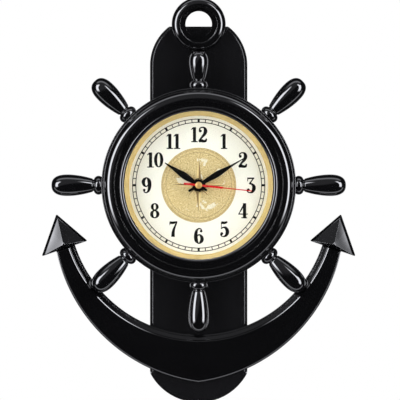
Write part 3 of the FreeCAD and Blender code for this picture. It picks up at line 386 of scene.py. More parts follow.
def ring_of_copies(name, unit, copies, step, material, start=0.0):
    """Copies of a unit on the wheel's axis, each turned a step further about it, baked into one mesh."""
    tree = bpy.data.node_groups.new(name + "_tree", "GeometryNodeTree")
    tree.interface.new_socket("Unit", in_out="INPUT", socket_type="NodeSocketGeometry")
    sizes = {
        label: tree.interface.new_socket(label, in_out="INPUT", socket_type="NodeSocket" + kind)
        for label, kind in (("Copies", "Int"), ("Step", "Float"), ("Start", "Float"), ("Axis", "Vector"))
    }
    tree.interface.new_socket("Ring", in_out="OUTPUT", socket_type="NodeSocketGeometry")
    given = add(tree, "NodeGroupInput")
    line = add(tree, "GeometryNodeMeshLine", {"Count": given.outputs["Copies"], "Offset": (0, 0, 0)})
    number = add(tree, "GeometryNodeInputIndex")
    steps = {0: number, 1: given.outputs["Step"], 2: given.outputs["Start"]}
    angle = add(tree, "ShaderNodeMath", steps, operation="MULTIPLY_ADD")
    about = add(tree, "ShaderNodeCombineXYZ", {"Y": angle})
    turn = add(tree, "FunctionNodeEulerToRotation", {0: about})
    copied = {"Points": line, "Instance": given.outputs["Unit"], "Rotation": turn}
    place = add(tree, "GeometryNodeInstanceOnPoints", copied)
    move = add(tree, "GeometryNodeTransform", {"Geometry": place, "Translation": given.outputs["Axis"]})
    real = add(tree, "GeometryNodeRealizeInstances", {0: move})
    finish = add(tree, "GeometryNodeSetMaterial", {"Geometry": real, "Material": material})
    add(tree, "NodeGroupOutput", {"Ring": finish})
    source = placed(name + "_unit", unit)
    modifier = source.modifiers.new("ring", "NODES")
    modifier.node_group = tree
    modifier[sizes["Copies"].identifier] = copies
    modifier[sizes["Step"].identifier] = math.radians(step)
    modifier[sizes["Start"].identifier] = math.radians(start)
    modifier[sizes["Axis"].identifier] = tuple(axis_point)
    mesh = baked(source)
    mesh.name = name
    source.modifiers.remove(modifier)
    bpy.data.objects.remove(source)
    return placed(name, mesh)


def turned_grip(name, sizes):
    """One grip that stands upright over the origin, as far from it as its place on the wheel."""
    outline = [(radius, station) for station, radius in grip_outline(*sizes)]
    grip = lathed(name, outline, gloss_plastic, sides=72)
    upright = Matrix.Rotation(math.radians(-90), 4, "X") @ Matrix.Translation(-axis_point)
    grip.data.transform(Matrix.Translation((0, -grip_depth * mm, 0)) @ upright)
    return grip


short_grip = turned_grip("upper_grip", (135.4, 123.5, 10.1, 114.5, 8.8))
short_grip.data.transform(Matrix.Translation(axis_point))
settle(short_grip, "casing", ["handle_1"])
long_grip = turned_grip("long_grip", (148.0, 131.5, 10.85, 119.0, 9.65))
long_grips = smoothed(ring_of_copies("long_grips", long_grip.data, 7, 45.0, gloss_plastic, start=45.0))
bpy.data.objects.remove(long_grip)
settle(long_grips, "casing", ["handle_%d" % number for number in range(2, 9)])
dress("handle_screws", zinc_steel)


# The anchor's arms are one crescent moulding, hollow behind: a stepped bevel round its inner edge, a ridge,
# and a face that falls to a chamfered outer edge. Screws through the board hold it, and a tongue at each end
# of it carries a fluke.
arm_centre = Vector((0.0, -19.4))
inner_radius = 131.0
ridge_radius = 138.3
ridge_depth = 27.2
face_fall = 0.075
outer_centre = Vector((21.95, -11.75))
outer_radius = 168.9
half_columns = 150
fluke_outer = Vector((158.05, -71.67))
fluke_inner = Vector((111.85, -55.94))
arm_section = eased([
    (0.0, 20.0), (0.0, 22.6, 0.3), (1.5, 22.9, 0.15), (2.2, 24.2, 0.3), (5.5, 25.1, 0.1), (5.8, 26.4, 0.1),
    (6.4, 26.88, 0.1), (7.15, 27.2, 0.12), (20.0, 26.25),
], 5)[:-1]


def outer_reach(heading):
    """Distance from the arms' centre to their outer edge along a heading."""
    direction = Vector((math.cos(heading), math.sin(heading)))
    reaches = []
    for side in (-1, 1):
        offset = Vector((side * outer_centre.x, outer_centre.y))
        along = direction.dot(offset)
        reaches.append(along + math.sqrt(along * along - offset.length_squared + outer_radius ** 2))
    return min(reaches)


def base_angle(radius):
    """Heading in which a circle about the arms' centre meets the right fluke's base line."""
    start = fluke_inner - arm_centre
    run = (fluke_outer - fluke_inner).normalized()
    along = start.dot(run)
    t = -along + math.sqrt(along * along - start.length_squared + radius * radius)
    meet = start + run * t
    return math.atan2(meet.y, meet.x)


def heading_at(share, radius):
    """Heading from the arms' centre, a share of the way from straight down to the right fluke's base."""
    return -math.pi / 2 + share * (base_angle(radius) + math.pi / 2)


def crescent_section(share):
    """Section of the arms as (radius, depth), a share of the way from their middle to a tip."""
    # The outer edge and its heading depend on each other, so they are found in turns from a first guess.
    edge = 165.0
    for step in range(8):
        edge = outer_reach(heading_at(share, edge))
    face_start = ridge_radius + 1.2
    face_end = edge - 1.8
    chamfer_start = edge - 1.65
    nose_width = 0.97
    nose_depth = 0.9
    section = [(inner_radius + width, depth) for width, depth in arm_section]
    for n in range(1, 13):
        radius = face_start + (face_end - face_start) * n / 12
        section.append((radius, ridge_depth - (radius - ridge_radius) * face_fall))
    crown = ridge_depth - (face_end - ridge_radius) * face_fall
    section.append((chamfer_start, crown - 0.03))
    section += [(chamfer_start + n * 0.36, crown - 0.10 - n * 0.33) for n in range(1, 4)]
    for n in range(1, 5):
        turn = math.radians(42 + 12 * n)
        across = edge - nose_width + nose_width * math.sin(turn)
        section.append((across, crown - 1.65 + nose_depth * math.cos(turn)))
    return section + [(edge, seat_depth)]


def skin(work, one, two):
    """Faces between two rows of points."""
    for n in range(len(one) - 1):
        work.faces.new((one[n], two[n], two[n + 1], one[n + 1]))


def prism(work, back, front):
    """Closed block between two outlines."""
    work.faces.new(back)
    work.faces.new(list(reversed(front)))
    for n in range(len(back)):
        after = (n + 1) % len(back)
        work.faces.new((back[after], back[n], front[n], front[after]))


work = bmesh.new()
grid = []
for column in range(-half_columns, half_columns + 1):
    share = abs(column) / half_columns
    row = []
    for radius, depth in crescent_section(share):
        heading = heading_at(share, radius)
        x = arm_centre.x + radius * math.cos(heading)
        z = arm_centre.y + radius * math.sin(heading)
        row.append(work.verts.new(at(x if column >= 0 else -x, depth, z)))
    grid.append(row)
for one, two in zip(grid, grid[1:]):
    skin(work, one, two)
work.faces.new(grid[0])
work.faces.new(list(reversed(grid[-1])))
bmesh.ops.recalc_face_normals(work, faces=work.faces)
front_face = max(work.faces, key=lambda face: face.calc_area() * abs(face.normal.y))
if front_face.normal.y > 0:
    bmesh.ops.reverse_faces(work, faces=work.faces)
arms = meshed("anchor_crescent", work, gloss_plastic)
wall_maker = arms.modifiers.new("wall", "SOLIDIFY")
wall_maker.thickness = 2.2 * mm
wall_maker.offset = -1.0
wall_maker.use_even_offset = True
settle(smoothed(arms), "casing", ["anchor_arms"])
tongue_root = Vector((134.99, -63.78))
tongue_heading = math.radians(76.6)
tongue_way = Vector((math.cos(tongue_heading), math.sin(tongue_heading)))
tongue_half = 6.0
tongue_reach = 8.31
tongue_front = 22.5
tongue_shape = [(tongue_half, -5.0)]
tongue_shape += [
    (tongue_half * math.cos(math.pi * n / 20), tongue_reach + tongue_half * math.sin(math.pi * n / 20))
    for n in range(21)
]
tongue_shape += [(-tongue_half, -5.0)]
work = bmesh.new()
for side in (-1, 1):
    layers = []
    for depth in (seat_depth, tongue_front):
        layers.append([
            work.verts.new(at(
                side * (tongue_root.x + across * tongue_way.y + along * tongue_way.x), depth,
                tongue_root.y - across * tongue_way.x + along * tongue_way.y,
            ))
            for across, along in tongue_shape
        ])
    prism(work, *layers)
bmesh.ops.recalc_face_normals(work, faces=work.faces)
tongues = meshed("fluke_tongues", work, gloss_plastic)
rounded(tongues, 0.3, 2, 30.0)
settle(smoothed(tongues), "casing")
dress("arm_screws", zinc_steel)


# Each fluke is an arrow head moulded hollow: three facets, sunk a little in cooling, meet at one summit
# inside a chamfered border. A screw from behind holds its boss on the arm's tongue, which enters by a notch
# in its base.
fluke_apex = Vector((143.22, -29.07))
fluke_summit = Vector((135.99, -59.60))
fluke_middle = (fluke_apex + fluke_outer + fluke_inner) / 3
fluke_boss = Vector((137.47, -53.36))
sunk = 0.09
border_bend = 0.9
hollow_share = 0.84
hollow_foot = 23.45
hollow_rise = 8.74
facet_foot = 25.6
facet_rise = 10.4
notch_depth = 22.6
boss_radius = 3.6


def border_stations():
    """Stations round the fluke: place on its border, place on its ridges, share of the facet, notch."""
    stations = []
    corners = [fluke_apex, fluke_outer, fluke_inner]
    for index, corner in enumerate(corners):
        following = corners[(index + 1) % 3]
        before = (corners[index - 1] - corner).normalized()
        after = (following - corner).normalized()
        half = before.angle(after) / 2
        first = corner + before * border_bend / math.tan(half)
        last = corner + after * border_bend / math.tan(half)
        centre = corner + (before + after).normalized() * border_bend / math.sin(half)
        near = centre + (corner - centre).normalized() * border_bend
        for bend in arc_points(tuple(first), tuple(near), tuple(last), 6):
            stations.append((Vector(bend), corner + (Vector(bend) - corner) * 0.2, 0.0, False))
        far_half = (-after).angle(corners[(index + 2) % 3] - following) / 2
        end = following - after * border_bend / math.tan(far_half)
        for share in (0.1, 0.22, 0.36, 0.365, 0.5, 0.635, 0.64, 0.78, 0.9):
            place = last + (end - last) * share
            stations.append((place, place, share, index == 1 and 0.36 < share < 0.64))
    return stations


for name, side in (("left", -1), ("right", 1)):
    work = bmesh.new()
    hollow_top = fluke_middle + (fluke_summit - fluke_middle) * hollow_share
    columns = []
    for place, ridge, share, notched in border_stations():
        foot = notch_depth if notched else seat_depth
        hollow = fluke_middle + (place - fluke_middle) * hollow_share
        column = [
            (hollow + (hollow_top - hollow) * t, hollow_foot + hollow_rise * t) for t in (0.66, 0.33, 0.0)
        ]
        column += [(hollow, foot), (place, foot), (place, 24.1), (place, 24.4)]
        for step in range(12):
            t = 0.085 + 0.0763 * step
            sink = 27 * (1 - t) * share * (1 - t) * (1 - share) * t * sunk
            column.append((ridge + (fluke_summit - ridge) * t, facet_foot + facet_rise * t - sink))
        columns.append([work.verts.new(at(side * spot.x, depth, spot.y)) for spot, depth in column])
    summit = work.verts.new(at(side * fluke_summit.x, facet_foot + facet_rise, fluke_summit.y))
    ceiling = work.verts.new(at(side * hollow_top.x, hollow_foot + hollow_rise, hollow_top.y))
    for one, two in zip(columns, columns[1:] + columns[:1]):
        skin(work, one, two)
        work.faces.new((one[-1], two[-1], summit))
        work.faces.new((two[0], one[0], ceiling))
    low, high = [
        [work.verts.new(at(side * x, depth, z)) for x, z in circle(*fluke_boss, boss_radius, 32)]
        for depth in (22.55, 29.3)
    ]
    prism(work, low, high)
    bmesh.ops.recalc_face_normals(work, faces=work.faces)
    arrow = meshed(name + "_arrow", work, gloss_plastic)
    settle(smoothed(arrow), "casing", [name + "_fluke"])
dress("fluke_screws", zinc_steel)


# The dial is cream printed card on a plastic plate. Between two thin lines it has sixty fine strokes, twelve
# bold ones stand over them, and the hours are upright slab numerals.
def plate_mesh(name, outlines, front, thick):
    """Thin printed layer: each outline is a list of (x, z) in millimetres, with a closed front and sides."""
    mesh = bpy.data.meshes.new(name)
    work = bmesh.new()
    for outline in outlines:
        area = sum(a[0] * b[1] - b[0] * a[1] for a, b in zip(outline, outline[1:] + outline[:1]))
        points = outline if area > 0 else list(reversed(outline))
        near = [work.verts.new((x * mm, -front * mm, z * mm)) for x, z in points]
        far = [work.verts.new((x * mm, -(front - thick) * mm, z * mm)) for x, z in points]
        work.faces.new(near)
        for n in range(len(points)):
            after = (n + 1) % len(points)
            work.faces.new((near[n], far[n], far[after], near[after]))
    work.to_mesh(mesh)
    work.free()
    return mesh


dial_card = cloudy(
    "dial_card", (0.93, 0.91, 0.80), (0.95, 0.935, 0.83), 0.03, (0.5, 0.62), 0.0004, 0.000006
)
black_ink = cloudy(
    "black_ink", (0.003, 0.003, 0.003), (0.006, 0.006, 0.0055), 0.003, (0.4, 0.55), 0.0003, 0.000004,
    specular=0.1,
)
dress("dial", dial_card)
softened("dial_plate", "dial_backing", satin_plastic, 0.3)
dial_front = 29.4
ink = 0.03


def block(left, right, bottom, top):
    """Rectangle, as a list of one outline."""
    return [[(left, bottom), (right, bottom), (right, top), (left, top)]]


for name, half, low, high, layers, copies in (
    ("minute_strokes", 0.42, 63.2, 66.5, 1.0, 60), ("hour_strokes", 1.1, 62.9, 66.9, 1.4, 12),
):
    stroke = plate_mesh(name + "_unit", block(-half, half, low, high), dial_front + ink * layers, ink)
    settle(ring_of_copies(name, stroke, copies, 360.0 / copies, black_ink), "casing")


def printed_ring(name, radius, half, back, thick, material, sides):
    """Thin printed ring about the dial's axis, on the surface at a depth."""
    profile = [
        (radius - half, back), (radius - half, back + thick), (radius + half, back + thick),
        (radius + half, back),
    ]
    return lathed(name, profile, material, sides=sides)


for name, radius in (("inner_line", 63.2), ("outer_line", 66.5)):
    track_line = printed_ring(name, radius, 0.4, dial_front, ink * 0.7, black_ink, 240)
    settle(track_line, "casing")


def ribbon(points):
    """Brush stroke through (x, y, width) points, as a row of short pieces."""
    detail = 7
    dense = []
    for n in range(len(points) - 1):
        p0 = points[max(n - 1, 0)]
        p1 = points[n]
        p2 = points[n + 1]
        p3 = points[min(n + 2, len(points) - 1)]
        for step in range(detail):
            t = step / detail
            dense.append(tuple(
                0.5 * (
                    2 * b + (c - a) * t + (2 * a - 5 * b + 4 * c - d) * t * t
                    + (3 * b - a - 3 * c + d) * t ** 3
                )
                for a, b, c, d in zip(p0, p1, p2, p3)
            ))
    dense.append(points[-1])
    left, right = [], []
    for n, (x, y, width) in enumerate(dense):
        width = width * 1.1 + 0.03
        ahead = dense[min(n + 1, len(dense) - 1)]
        behind = dense[max(n - 1, 0)]
        run = Vector((ahead[0] - behind[0], ahead[1] - behind[1])).normalized()
        left.append((x - run.y * width / 2, y + run.x * width / 2))
        right.append((x + run.y * width / 2, y - run.x * width / 2))
    return [[left[n], left[n + 1], right[n + 1], right[n]] for n in range(len(left) - 1)]


def ball(x, y, radius):
    """Round dot, as a list of one outline."""
    return [circle(x, y, radius, 20)]


def loop(x, y, rx, ry, side, thin):
    """Closed bowl whose sides are heavy and whose top and bottom are thin."""
    sides = 40
    rings = []
    for n in range(sides):
        angle = math.tau * n / sides
        c, s = math.cos(angle), math.sin(angle)
        rings.append((
            (x + (rx + side / 2) * c, y + (ry + thin / 2) * s),
            (x + (rx - side / 2) * c, y + (ry - thin / 2) * s),
        ))
    return [
        [rings[n][0], rings[(n + 1) % sides][0], rings[(n + 1) % sides][1], rings[n][1]]
        for n in range(sides)
    ]


six = (
    ribbon([(.47, .88, .04), (.40, .96, .05), (.28, .975, .05), (.14, .82, .13), (.09, .5, .19),
            (.13, .2, .18), (.28, .025, .05), (.44, .13, .15), (.50, .31, .18), (.43, .50, .12),
            (.30, .58, .05), (.17, .47, .05)])
    + ball(.44, .81, .085)
)
glyphs = {
    "0": loop(.28, .5, .2, .455, .21, .07),
    "1": (block(.12, .325, .03, .98) + block(.01, .43, 0, .07)
          + [[(.13, .98), (.0, .84), (.0, .79), (.15, .86)]]),
    "2": (ball(.13, .73, .095)
          + ribbon([(.06, .76, .03), (.11, .90, .05), (.27, .965, .05), (.42, .90, .12), (.47, .73, .19),
                    (.41, .54, .16), (.25, .34, .1), (.10, .15, .07), (.04, .04, .06)])
          + ribbon([(.03, .07, .13), (.2, .10, .16), (.35, .065, .13), (.48, .09, .11), (.53, .24, .05)])),
    "3": (block(.06, .51, .90, 1.0) + [[(.06, .96), (.13, .96), (.10, .75), (.06, .75)]]
          + [[(.42, .95), (.51, .95), (.25, .58), (.15, .60)]]
          + ribbon([(.19, .595, .05), (.34, .58, .08), (.48, .43, .17), (.48, .24, .19), (.38, .06, .11),
                    (.24, .025, .05), (.11, .06, .05), (.05, .18, .04)]) + ball(.13, .2, .095)),
    "4": (block(.30, .51, .03, .98) + [[(.36, .98), (.50, .98), (.08, .30), (.01, .30)]]
          + block(.0, .61, .24, .31) + block(.2, .58, 0, .07)),
    "5": (ribbon([(.10, .93, .13), (.30, .91, .13), (.50, .97, .08)]) + block(.075, .125, .50, .95)
          + ribbon([(.10, .53, .04), (.24, .62, .06), (.41, .56, .14), (.50, .33, .19), (.41, .10, .13),
                    (.25, .025, .05), (.11, .07, .05), (.05, .18, .04)]) + ball(.13, .21, .095)),
    "6": six,
    "7": (ribbon([(.05, .93, .12), (.25, .91, .13), (.42, .95, .09), (.54, .985, .03)])
          + block(.03, .075, .76, .98)
          + ribbon([(.51, .95, .05), (.37, .64, .09), (.28, .34, .15), (.26, .0, .19)])),
    "8": loop(.28, .745, .165, .205, .18, .075) + loop(.28, .27, .2, .235, .21, .075),
    "9": [[(.56 - x, 1.0 - y) for x, y in outline] for outline in six],
}
numeral_circle = 51.0
numeral_height = 15.5
level_stretch = 1.025
numeral_outlines = []
for hour in range(1, 13):
    text = str(hour)
    one_width = .47 if len(text) > 1 else .44
    spans = [one_width if mark == "1" else .56 for mark in text]
    pen = -sum(spans) / 2 + (.02 if len(text) > 1 else 0)
    heading = math.radians(30 * hour)
    centre_x = numeral_circle * math.sin(heading) * (level_stretch if hour in (3, 9) else 1.0)
    centre_z = numeral_circle * math.cos(heading)
    for mark, span in zip(text, spans):
        for outline in glyphs[mark]:
            numeral_outlines.append([
                (centre_x + (pen + x) * numeral_height, centre_z + (y - .5) * numeral_height)
                for x, y in outline
            ])
        pen += span
numeral_mesh = plate_mesh("hour_numerals", numeral_outlines, dial_front + ink, ink)
numeral_mesh.transform(Matrix.Translation(axis_point))
numeral_mesh.materials.append(black_ink)
settle(placed("hour_numerals", numeral_mesh), "casing")


# The medallion is a disc of grained gold foil stuck on the dial, with a darker rim, fine rays and a compass
# rose of eight points printed on it, each point light on one side and dark on the other.
def about_axis(tree):
    """Object coordinates, and the same with their zero on the dial's axis."""
    place = add(tree, "ShaderNodeTexCoord").outputs["Object"]
    return place, add(tree, "ShaderNodeMapping", {"Vector": place, "Location": -axis_point})


def length_of(tree, vector):
    """Distance from the zero of a vector."""
    return add(tree, "ShaderNodeVectorMath", {0: vector}, operation="LENGTH").outputs["Value"]


foil, tree, shader = bare_material("grained_foil")
place, centred = about_axis(tree)
split = add(tree, "ShaderNodeSeparateXYZ", {0: centred})
flat = add(tree, "ShaderNodeCombineXYZ", {"X": split.outputs["X"], "Y": split.outputs["Z"]})
from_middle = length_of(tree, flat)
grain = speckled(tree, place, 850.0, 4.0, 0.7)
lands = speckled(tree, place, 74.0, 5.0, 0.55)
gold_ramp = add(tree, "ShaderNodeValToRGB", {0: grain})
shades = gold_ramp.color_ramp.elements
shades.new(0.48)
for shade, position, colour in zip(
    shades, (0.34, 0.48, 0.64), ((0.36, 0.235, 0.075, 1), (0.70, 0.53, 0.23, 1), (0.93, 0.80, 0.47, 1))
):
    shade.position = position
    shade.color = colour
pale = ranged(tree, lands, 0.575, 0.595, high=0.85)
inside = ranged(tree, from_middle, 0.028, 0.026)
patches = add(tree, "ShaderNodeMath", {0: pale, 1: inside}, operation="MULTIPLY")
land_tint = tinted(tree, patches, gold_ramp, (0.97, 0.93, 0.78, 1))
rim = ranged(tree, from_middle, 0.0360, 0.0375, high=0.55)
rim_tint = tinted(tree, rim, land_tint, (0.42, 0.29, 0.10, 1))
feed(tree, shader, {"Base Color": rim_tint, "Metallic": 0.15, "Roughness": 0.42})
grained(tree, shader, grain, 0.00003)
dress("medallion", foil)
foil_front = 29.5
brown_ink = cloudy(
    "brown_ink", (0.22, 0.12, 0.035), (0.30, 0.18, 0.06), 0.003, (0.4, 0.5), 0.0003, 0.000004
)
gold_ink = cloudy(
    "gold_ink", (0.88, 0.68, 0.29), (0.95, 0.78, 0.40), 0.003, (0.3, 0.45), 0.0003, 0.000004, metallic=0.3
)
ray = plate_mesh(
    "ray", [[(-0.045, 6.0), (0.045, 6.0), (0.09, 32.5), (-0.09, 32.5)]], foil_front + 0.015, 0.015
)
settle(ring_of_copies("foil_rays", ray, 72, 5.0, gold_ink), "casing")
for name, radius in (("foil_band_inner", 33.0), ("foil_band_outer", 36.0)):
    settle(printed_ring(name, radius, 0.15, foil_front, 0.02, brown_ink, 180), "casing")
for name, turn, reach, waist, front in (
    ("long_points", 0.0, 28.5, 2.9, 0.05), ("short_points", 45.0, 15.5, 2.0, 0.03),
):
    for part, side, material in (("dark", 1, brown_ink), ("light", -1, gold_ink)):
        outline = [(0, 0), (side * waist, waist * 1.1), (0, reach)]
        half_point = plate_mesh(name, [outline], foil_front + front, 0.02)
        half_points = ring_of_copies(name + "_" + part, half_point, 4, 90.0, material, start=turn)
        settle(half_points, "casing")


# A cone of spun, gold anodised metal stands round the dial and carries the flat glass up against the
# casing's lip. Fine turning marks run round it.
spun_gold, tree, shader = bare_material("spun_gold")
place, centred = about_axis(tree)
turns = {"W": length_of(tree, centred), "Scale": 2500.0, "Detail": 3.0}
marks = add(tree, "ShaderNodeTexNoise", turns, noise_dimensions="1D").outputs["Fac"]
gold_tint = tinted(tree, marks, (0.90, 0.62, 0.21, 1), (1.0, 0.82, 0.38, 1))
feed(tree, shader, {"Base Color": gold_tint, "Metallic": 0.65, "Roughness": 0.24})
grained(tree, shader, marks, 0.000008)
cone_profile = eased([
    (76.8, 29.4), (76.8, 42.5, 0.1), (74.4, 42.5, 0.15), (72.1, 35.0, 0.5), (69.8, 30.0, 0.15), (69.8, 29.4),
])
cone = lathed("gold_cone", cone_profile, spun_gold)
settle(cone, "casing", ["gold_ring"])
pane, tree, shader = bare_material("clear_pane")
feed(tree, shader, {
    "Base Color": (0.985, 0.995, 0.99, 1), "Transmission Weight": 1.0, "Roughness": 0.0, "IOR": 1.45,
})
path = add(tree, "ShaderNodeLightPath")
clear = add(tree, "ShaderNodeBsdfTransparent", {"Color": (0.97, 0.98, 0.975, 1)})
blend = add(tree, "ShaderNodeMixShader", {0: path.outputs["Is Shadow Ray"], 1: shader, 2: clear})
feed(tree, tree.nodes["Material Output"], {"Surface": blend})
glass_profile = eased([(0.0, 42.5), (76.7, 42.5, 0.25), (76.7, 44.4, 0.25), (0.0, 44.4)])
glass_disc = lathed("front_glass", glass_profile, pane, sides=192)
settle(glass_disc, "casing", ["glass"])


# The movement is a boxed quartz works of plastic wheels on steel pivots, with a coil, a magnet rotor and a
# penlight cell in its open bay. A brass nut on its threaded bush clamps it through the dial plate, over a
# rubber washer and a steel one plated with brass.
acetal = cloudy(
    "acetal", (0.78, 0.77, 0.70), (0.86, 0.85, 0.79), 0.004, (0.35, 0.48), 0.0008, 0.00001
)
white_knob = cloudy(
    "white_knob", (0.80, 0.79, 0.74), (0.86, 0.85, 0.81), 0.004, (0.3, 0.42), 0.0008, 0.00001
)
turned_brass = cloudy(
    "turned_brass", (0.70, 0.50, 0.20), (0.84, 0.64, 0.30), 0.002, (0.22, 0.32), 0.0003, 0.000008,
    metallic=1.0,
)
nickel = cloudy(
    "nickel", (0.62, 0.60, 0.57), (0.74, 0.72, 0.69), 0.003, (0.2, 0.3), 0.0004, 0.000006, metallic=1.0
)
lamination = cloudy(
    "iron", (0.30, 0.30, 0.31), (0.42, 0.42, 0.43), 0.003, (0.35, 0.5), 0.0003, 0.00001, metallic=1.0
)
sintered = cloudy(
    "magnet", (0.10, 0.10, 0.11), (0.17, 0.17, 0.18), 0.002, (0.4, 0.55), 0.0003, 0.00001, metallic=0.8
)
wound = cloudy(
    "enamelled", (0.50, 0.17, 0.06), (0.68, 0.28, 0.11), 0.001, (0.25, 0.35), 0.0002, 0.00002, metallic=0.9
)
board_green = cloudy(
    "board_green", (0.03, 0.16, 0.07), (0.05, 0.22, 0.10), 0.003, (0.3, 0.45), 0.0005, 0.00001
)
black_rubber = cloudy(
    "washer_rubber", (0.02, 0.02, 0.02), (0.035, 0.035, 0.035), 0.003, (0.7, 0.85), 0.0004, 0.00002
)
cell_sleeve = cloudy(
    "cell_sleeve", (0.05, 0.10, 0.22), (0.07, 0.13, 0.27), 0.01, (0.25, 0.35), 0.001, 0.000006,
    metallic=0.4, coat=0.5,
)
for node, material in (
    ("train_bridge", acetal), ("bobbin", acetal), ("intermediate_wheel", acetal), ("second_wheel", acetal),
    ("third_wheel", acetal), ("centre_wheel", acetal), ("minute_wheel", acetal), ("hour_wheel", acetal),
    ("cannon_pinion", turned_brass), ("rotor", sintered), ("stator", lamination), ("coil_core", lamination),
    ("coil", wound), ("circuit_board", board_green), ("quartz_crystal", nickel), ("positive_contact", nickel),
    ("negative_contact", nickel), ("rubber_washer", black_rubber), ("metal_washer", turned_brass),
):
    dress(node, material)
for node, name, material, edge in (
    ("front_case", "works_case", satin_plastic, 0.25), ("rear_cover", "works_cover", satin_plastic, 0.25),
    ("setting_knob", "setting_wheel", white_knob, 0.15), ("battery", "penlight_cell", cell_sleeve, 0.3),
    ("hex_nut", "bush_nut", turned_brass, 0.15),
):
    softened(node, name, material, edge)


# The hands are stamped leaves lacquered black, the seconds hand is a thin red one, and a small domed brass
# cap covers their hub.
black_lacquer = cloudy(
    "black_lacquer", (0.003, 0.003, 0.003), (0.006, 0.006, 0.006), 0.004, (0.18, 0.26), 0.0006, 0.000004,
    specular=0.3,
)
red_lacquer = cloudy(
    "red_lacquer", (0.62, 0.012, 0.018), (0.72, 0.02, 0.025), 0.004, (0.2, 0.3), 0.0006, 0.000004, coat=0.3,
)


def stamped_leaf(name, node, stations, tail, bore, back, heading):
    """Thin leaf hand from (distance, half width) stations, with a hub disc and a narrow tail."""
    hub = 6.0
    tail_half = 1.3
    thickness = 0.5
    edge = 0.08
    for cut in range(2):
        eased_side = [stations[0]]
        for (d0, w0), (d1, w1) in zip(stations, stations[1:]):
            eased_side.append((d0 * 0.75 + d1 * 0.25, w0 * 0.75 + w1 * 0.25))
            eased_side.append((d0 * 0.25 + d1 * 0.75, w0 * 0.25 + w1 * 0.75))
        stations = eased_side + [stations[-1]]
    start = math.asin(stations[0][1] / hub)
    sweep = math.pi - math.asin(tail_half / hub) - start
    right = [(half, distance) for distance, half in reversed(stations)]
    right += [
        (hub * math.sin(start + sweep * n / 16), hub * math.cos(start + sweep * n / 16))
        for n in range(1, 17)
    ]
    right += [
        (tail_half * math.cos(math.pi * n / 12), tail_half - tail - tail_half * math.sin(math.pi * n / 12))
        for n in range(6)
    ]
    tip = (0.0, stations[-1][0] + stations[-1][1])
    outline = [tip] + right + [(0.0, -tail)] + [(-x, z) for x, z in reversed(right)]
    curve = bpy.data.curves.new(name, "CURVE")
    curve.dimensions = "2D"
    curve.fill_mode = "BOTH"
    for points in (outline, circle(0, 0, bore, 48)):
        spline = curve.splines.new("POLY")
        spline.points.add(len(points) - 1)
        for point, (x, z) in zip(spline.points, points):
            point.co = (x * mm, z * mm, 0, 1)
        spline.use_cyclic_u = True
    curve.bevel_depth = edge * mm
    curve.bevel_resolution = 1
    curve.offset = -edge * mm
    curve.extrude = (thickness / 2 - edge) * mm
    drawn = placed(name, curve)
    mesh = baked(drawn)
    bpy.data.objects.remove(drawn)
    work = bmesh.new()
    work.from_mesh(mesh)
    bmesh.ops.remove_doubles(work, verts=work.verts, dist=0.000001)
    bmesh.ops.recalc_face_normals(work, faces=work.faces)
    work.to_mesh(mesh)
    work.free()
    turn = Matrix.Rotation(math.radians(heading), 4, "Y") @ Matrix.Rotation(math.radians(90), 4, "X")
    mesh.transform(Matrix.Translation(at(0, back + thickness / 2, 0)) @ turn)
    mesh.materials.clear()
    mesh.materials.append(black_lacquer)
    return settle(smoothed(placed(name, mesh)), frame["nodes"][node]["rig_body"], [node])


hour_side = [
    (5.75, 1.7), (9.0, 2.4), (12.6, 3.1), (16.5, 3.5), (20.0, 3.25), (24.0, 2.65), (28.0, 2.05), (32.0, 1.5),
    (36.0, 1.0), (40.6, 0.4),
]
minute_side = [
    (5.7, 1.9), (11.0, 2.2), (16.5, 2.85), (21.0, 3.05), (25.5, 2.75), (30.0, 2.2), (34.0, 1.65),
    (38.0, 1.15), (44.0, 0.75), (53.6, 0.4),
]
stamped_leaf("hour_leaf", "hour_hand", hour_side, 10.0, 2.5, 33.1, 303.6)
stamped_leaf("minute_leaf", "minute_hand", minute_side, 12.0, 1.6, 35.4, 59.3)
softened("second_hand", "seconds_leaf", red_lacquer, 0.05)
cap_brass = cloudy(
    "cap_brass", (0.60, 0.38, 0.13), (0.72, 0.48, 0.20), 0.004, (0.42, 0.52), 0.0004, 0.000004, metallic=1.0
)
softened("hand_cap", "domed_cap", cap_brass, 0.12)


# The room, in metres: a plain pale floor well below the clock, and a white room behind it. Two tall lamps
# and a soft sky light the matt pieces. Gloss shows two tall soft boxes at the sides, one overhead, one below
# and the room behind.
floor_radius = 4.5
floor_level = -0.95
floor_edge = [(x, y, floor_level) for x, y in circle(0, 0, floor_radius, 64)]
floor_mesh = bpy.data.meshes.new("floor")
floor_mesh.from_pydata(floor_edge, [], [tuple(range(len(floor_edge)))])
floor = placed("floor", floor_mesh)
pale_floor = cloudy("pale_floor", (0.80, 0.80, 0.80), (0.84, 0.84, 0.84), 0.4, (0.7, 0.8), 0.004, 0.0001)
floor_mesh.materials.append(pale_floor)
floor.visible_glossy = False
tree = pale_floor.node_tree
path = add(tree, "ShaderNodeLightPath")
paler = add(tree, "ShaderNodeMath", {0: path.outputs["Is Camera Ray"], 1: 0.62}, operation="MULTIPLY")
feed(tree, tree.nodes["Principled BSDF"], {"Emission Strength": paler, "Emission Color": (1, 1, 1, 1)})
clock_middle = Vector((0.0, -0.03, -0.13))
lamp_azimuth = math.radians(54.5)
lamp_distance = 1.5
lamp_rise = Vector((0, 0, 0.45))
for side in (-1, 1):
    box = bpy.data.lights.new("soft_box", "AREA")
    box.shape = "RECTANGLE"
    box.size = 0.56
    box.size_y = 2.3
    box.energy = 12.4
    lamp = placed("soft_box", box)
    outward = Vector((math.sin(lamp_azimuth * side), -math.cos(lamp_azimuth * side), 0))
    lamp.location = clock_middle + outward * lamp_distance + lamp_rise
    lamp.rotation_euler = (-outward).to_track_quat("-Z", "Y").to_euler()
    lamp.visible_glossy = False
world = bpy.data.worlds.new("room")
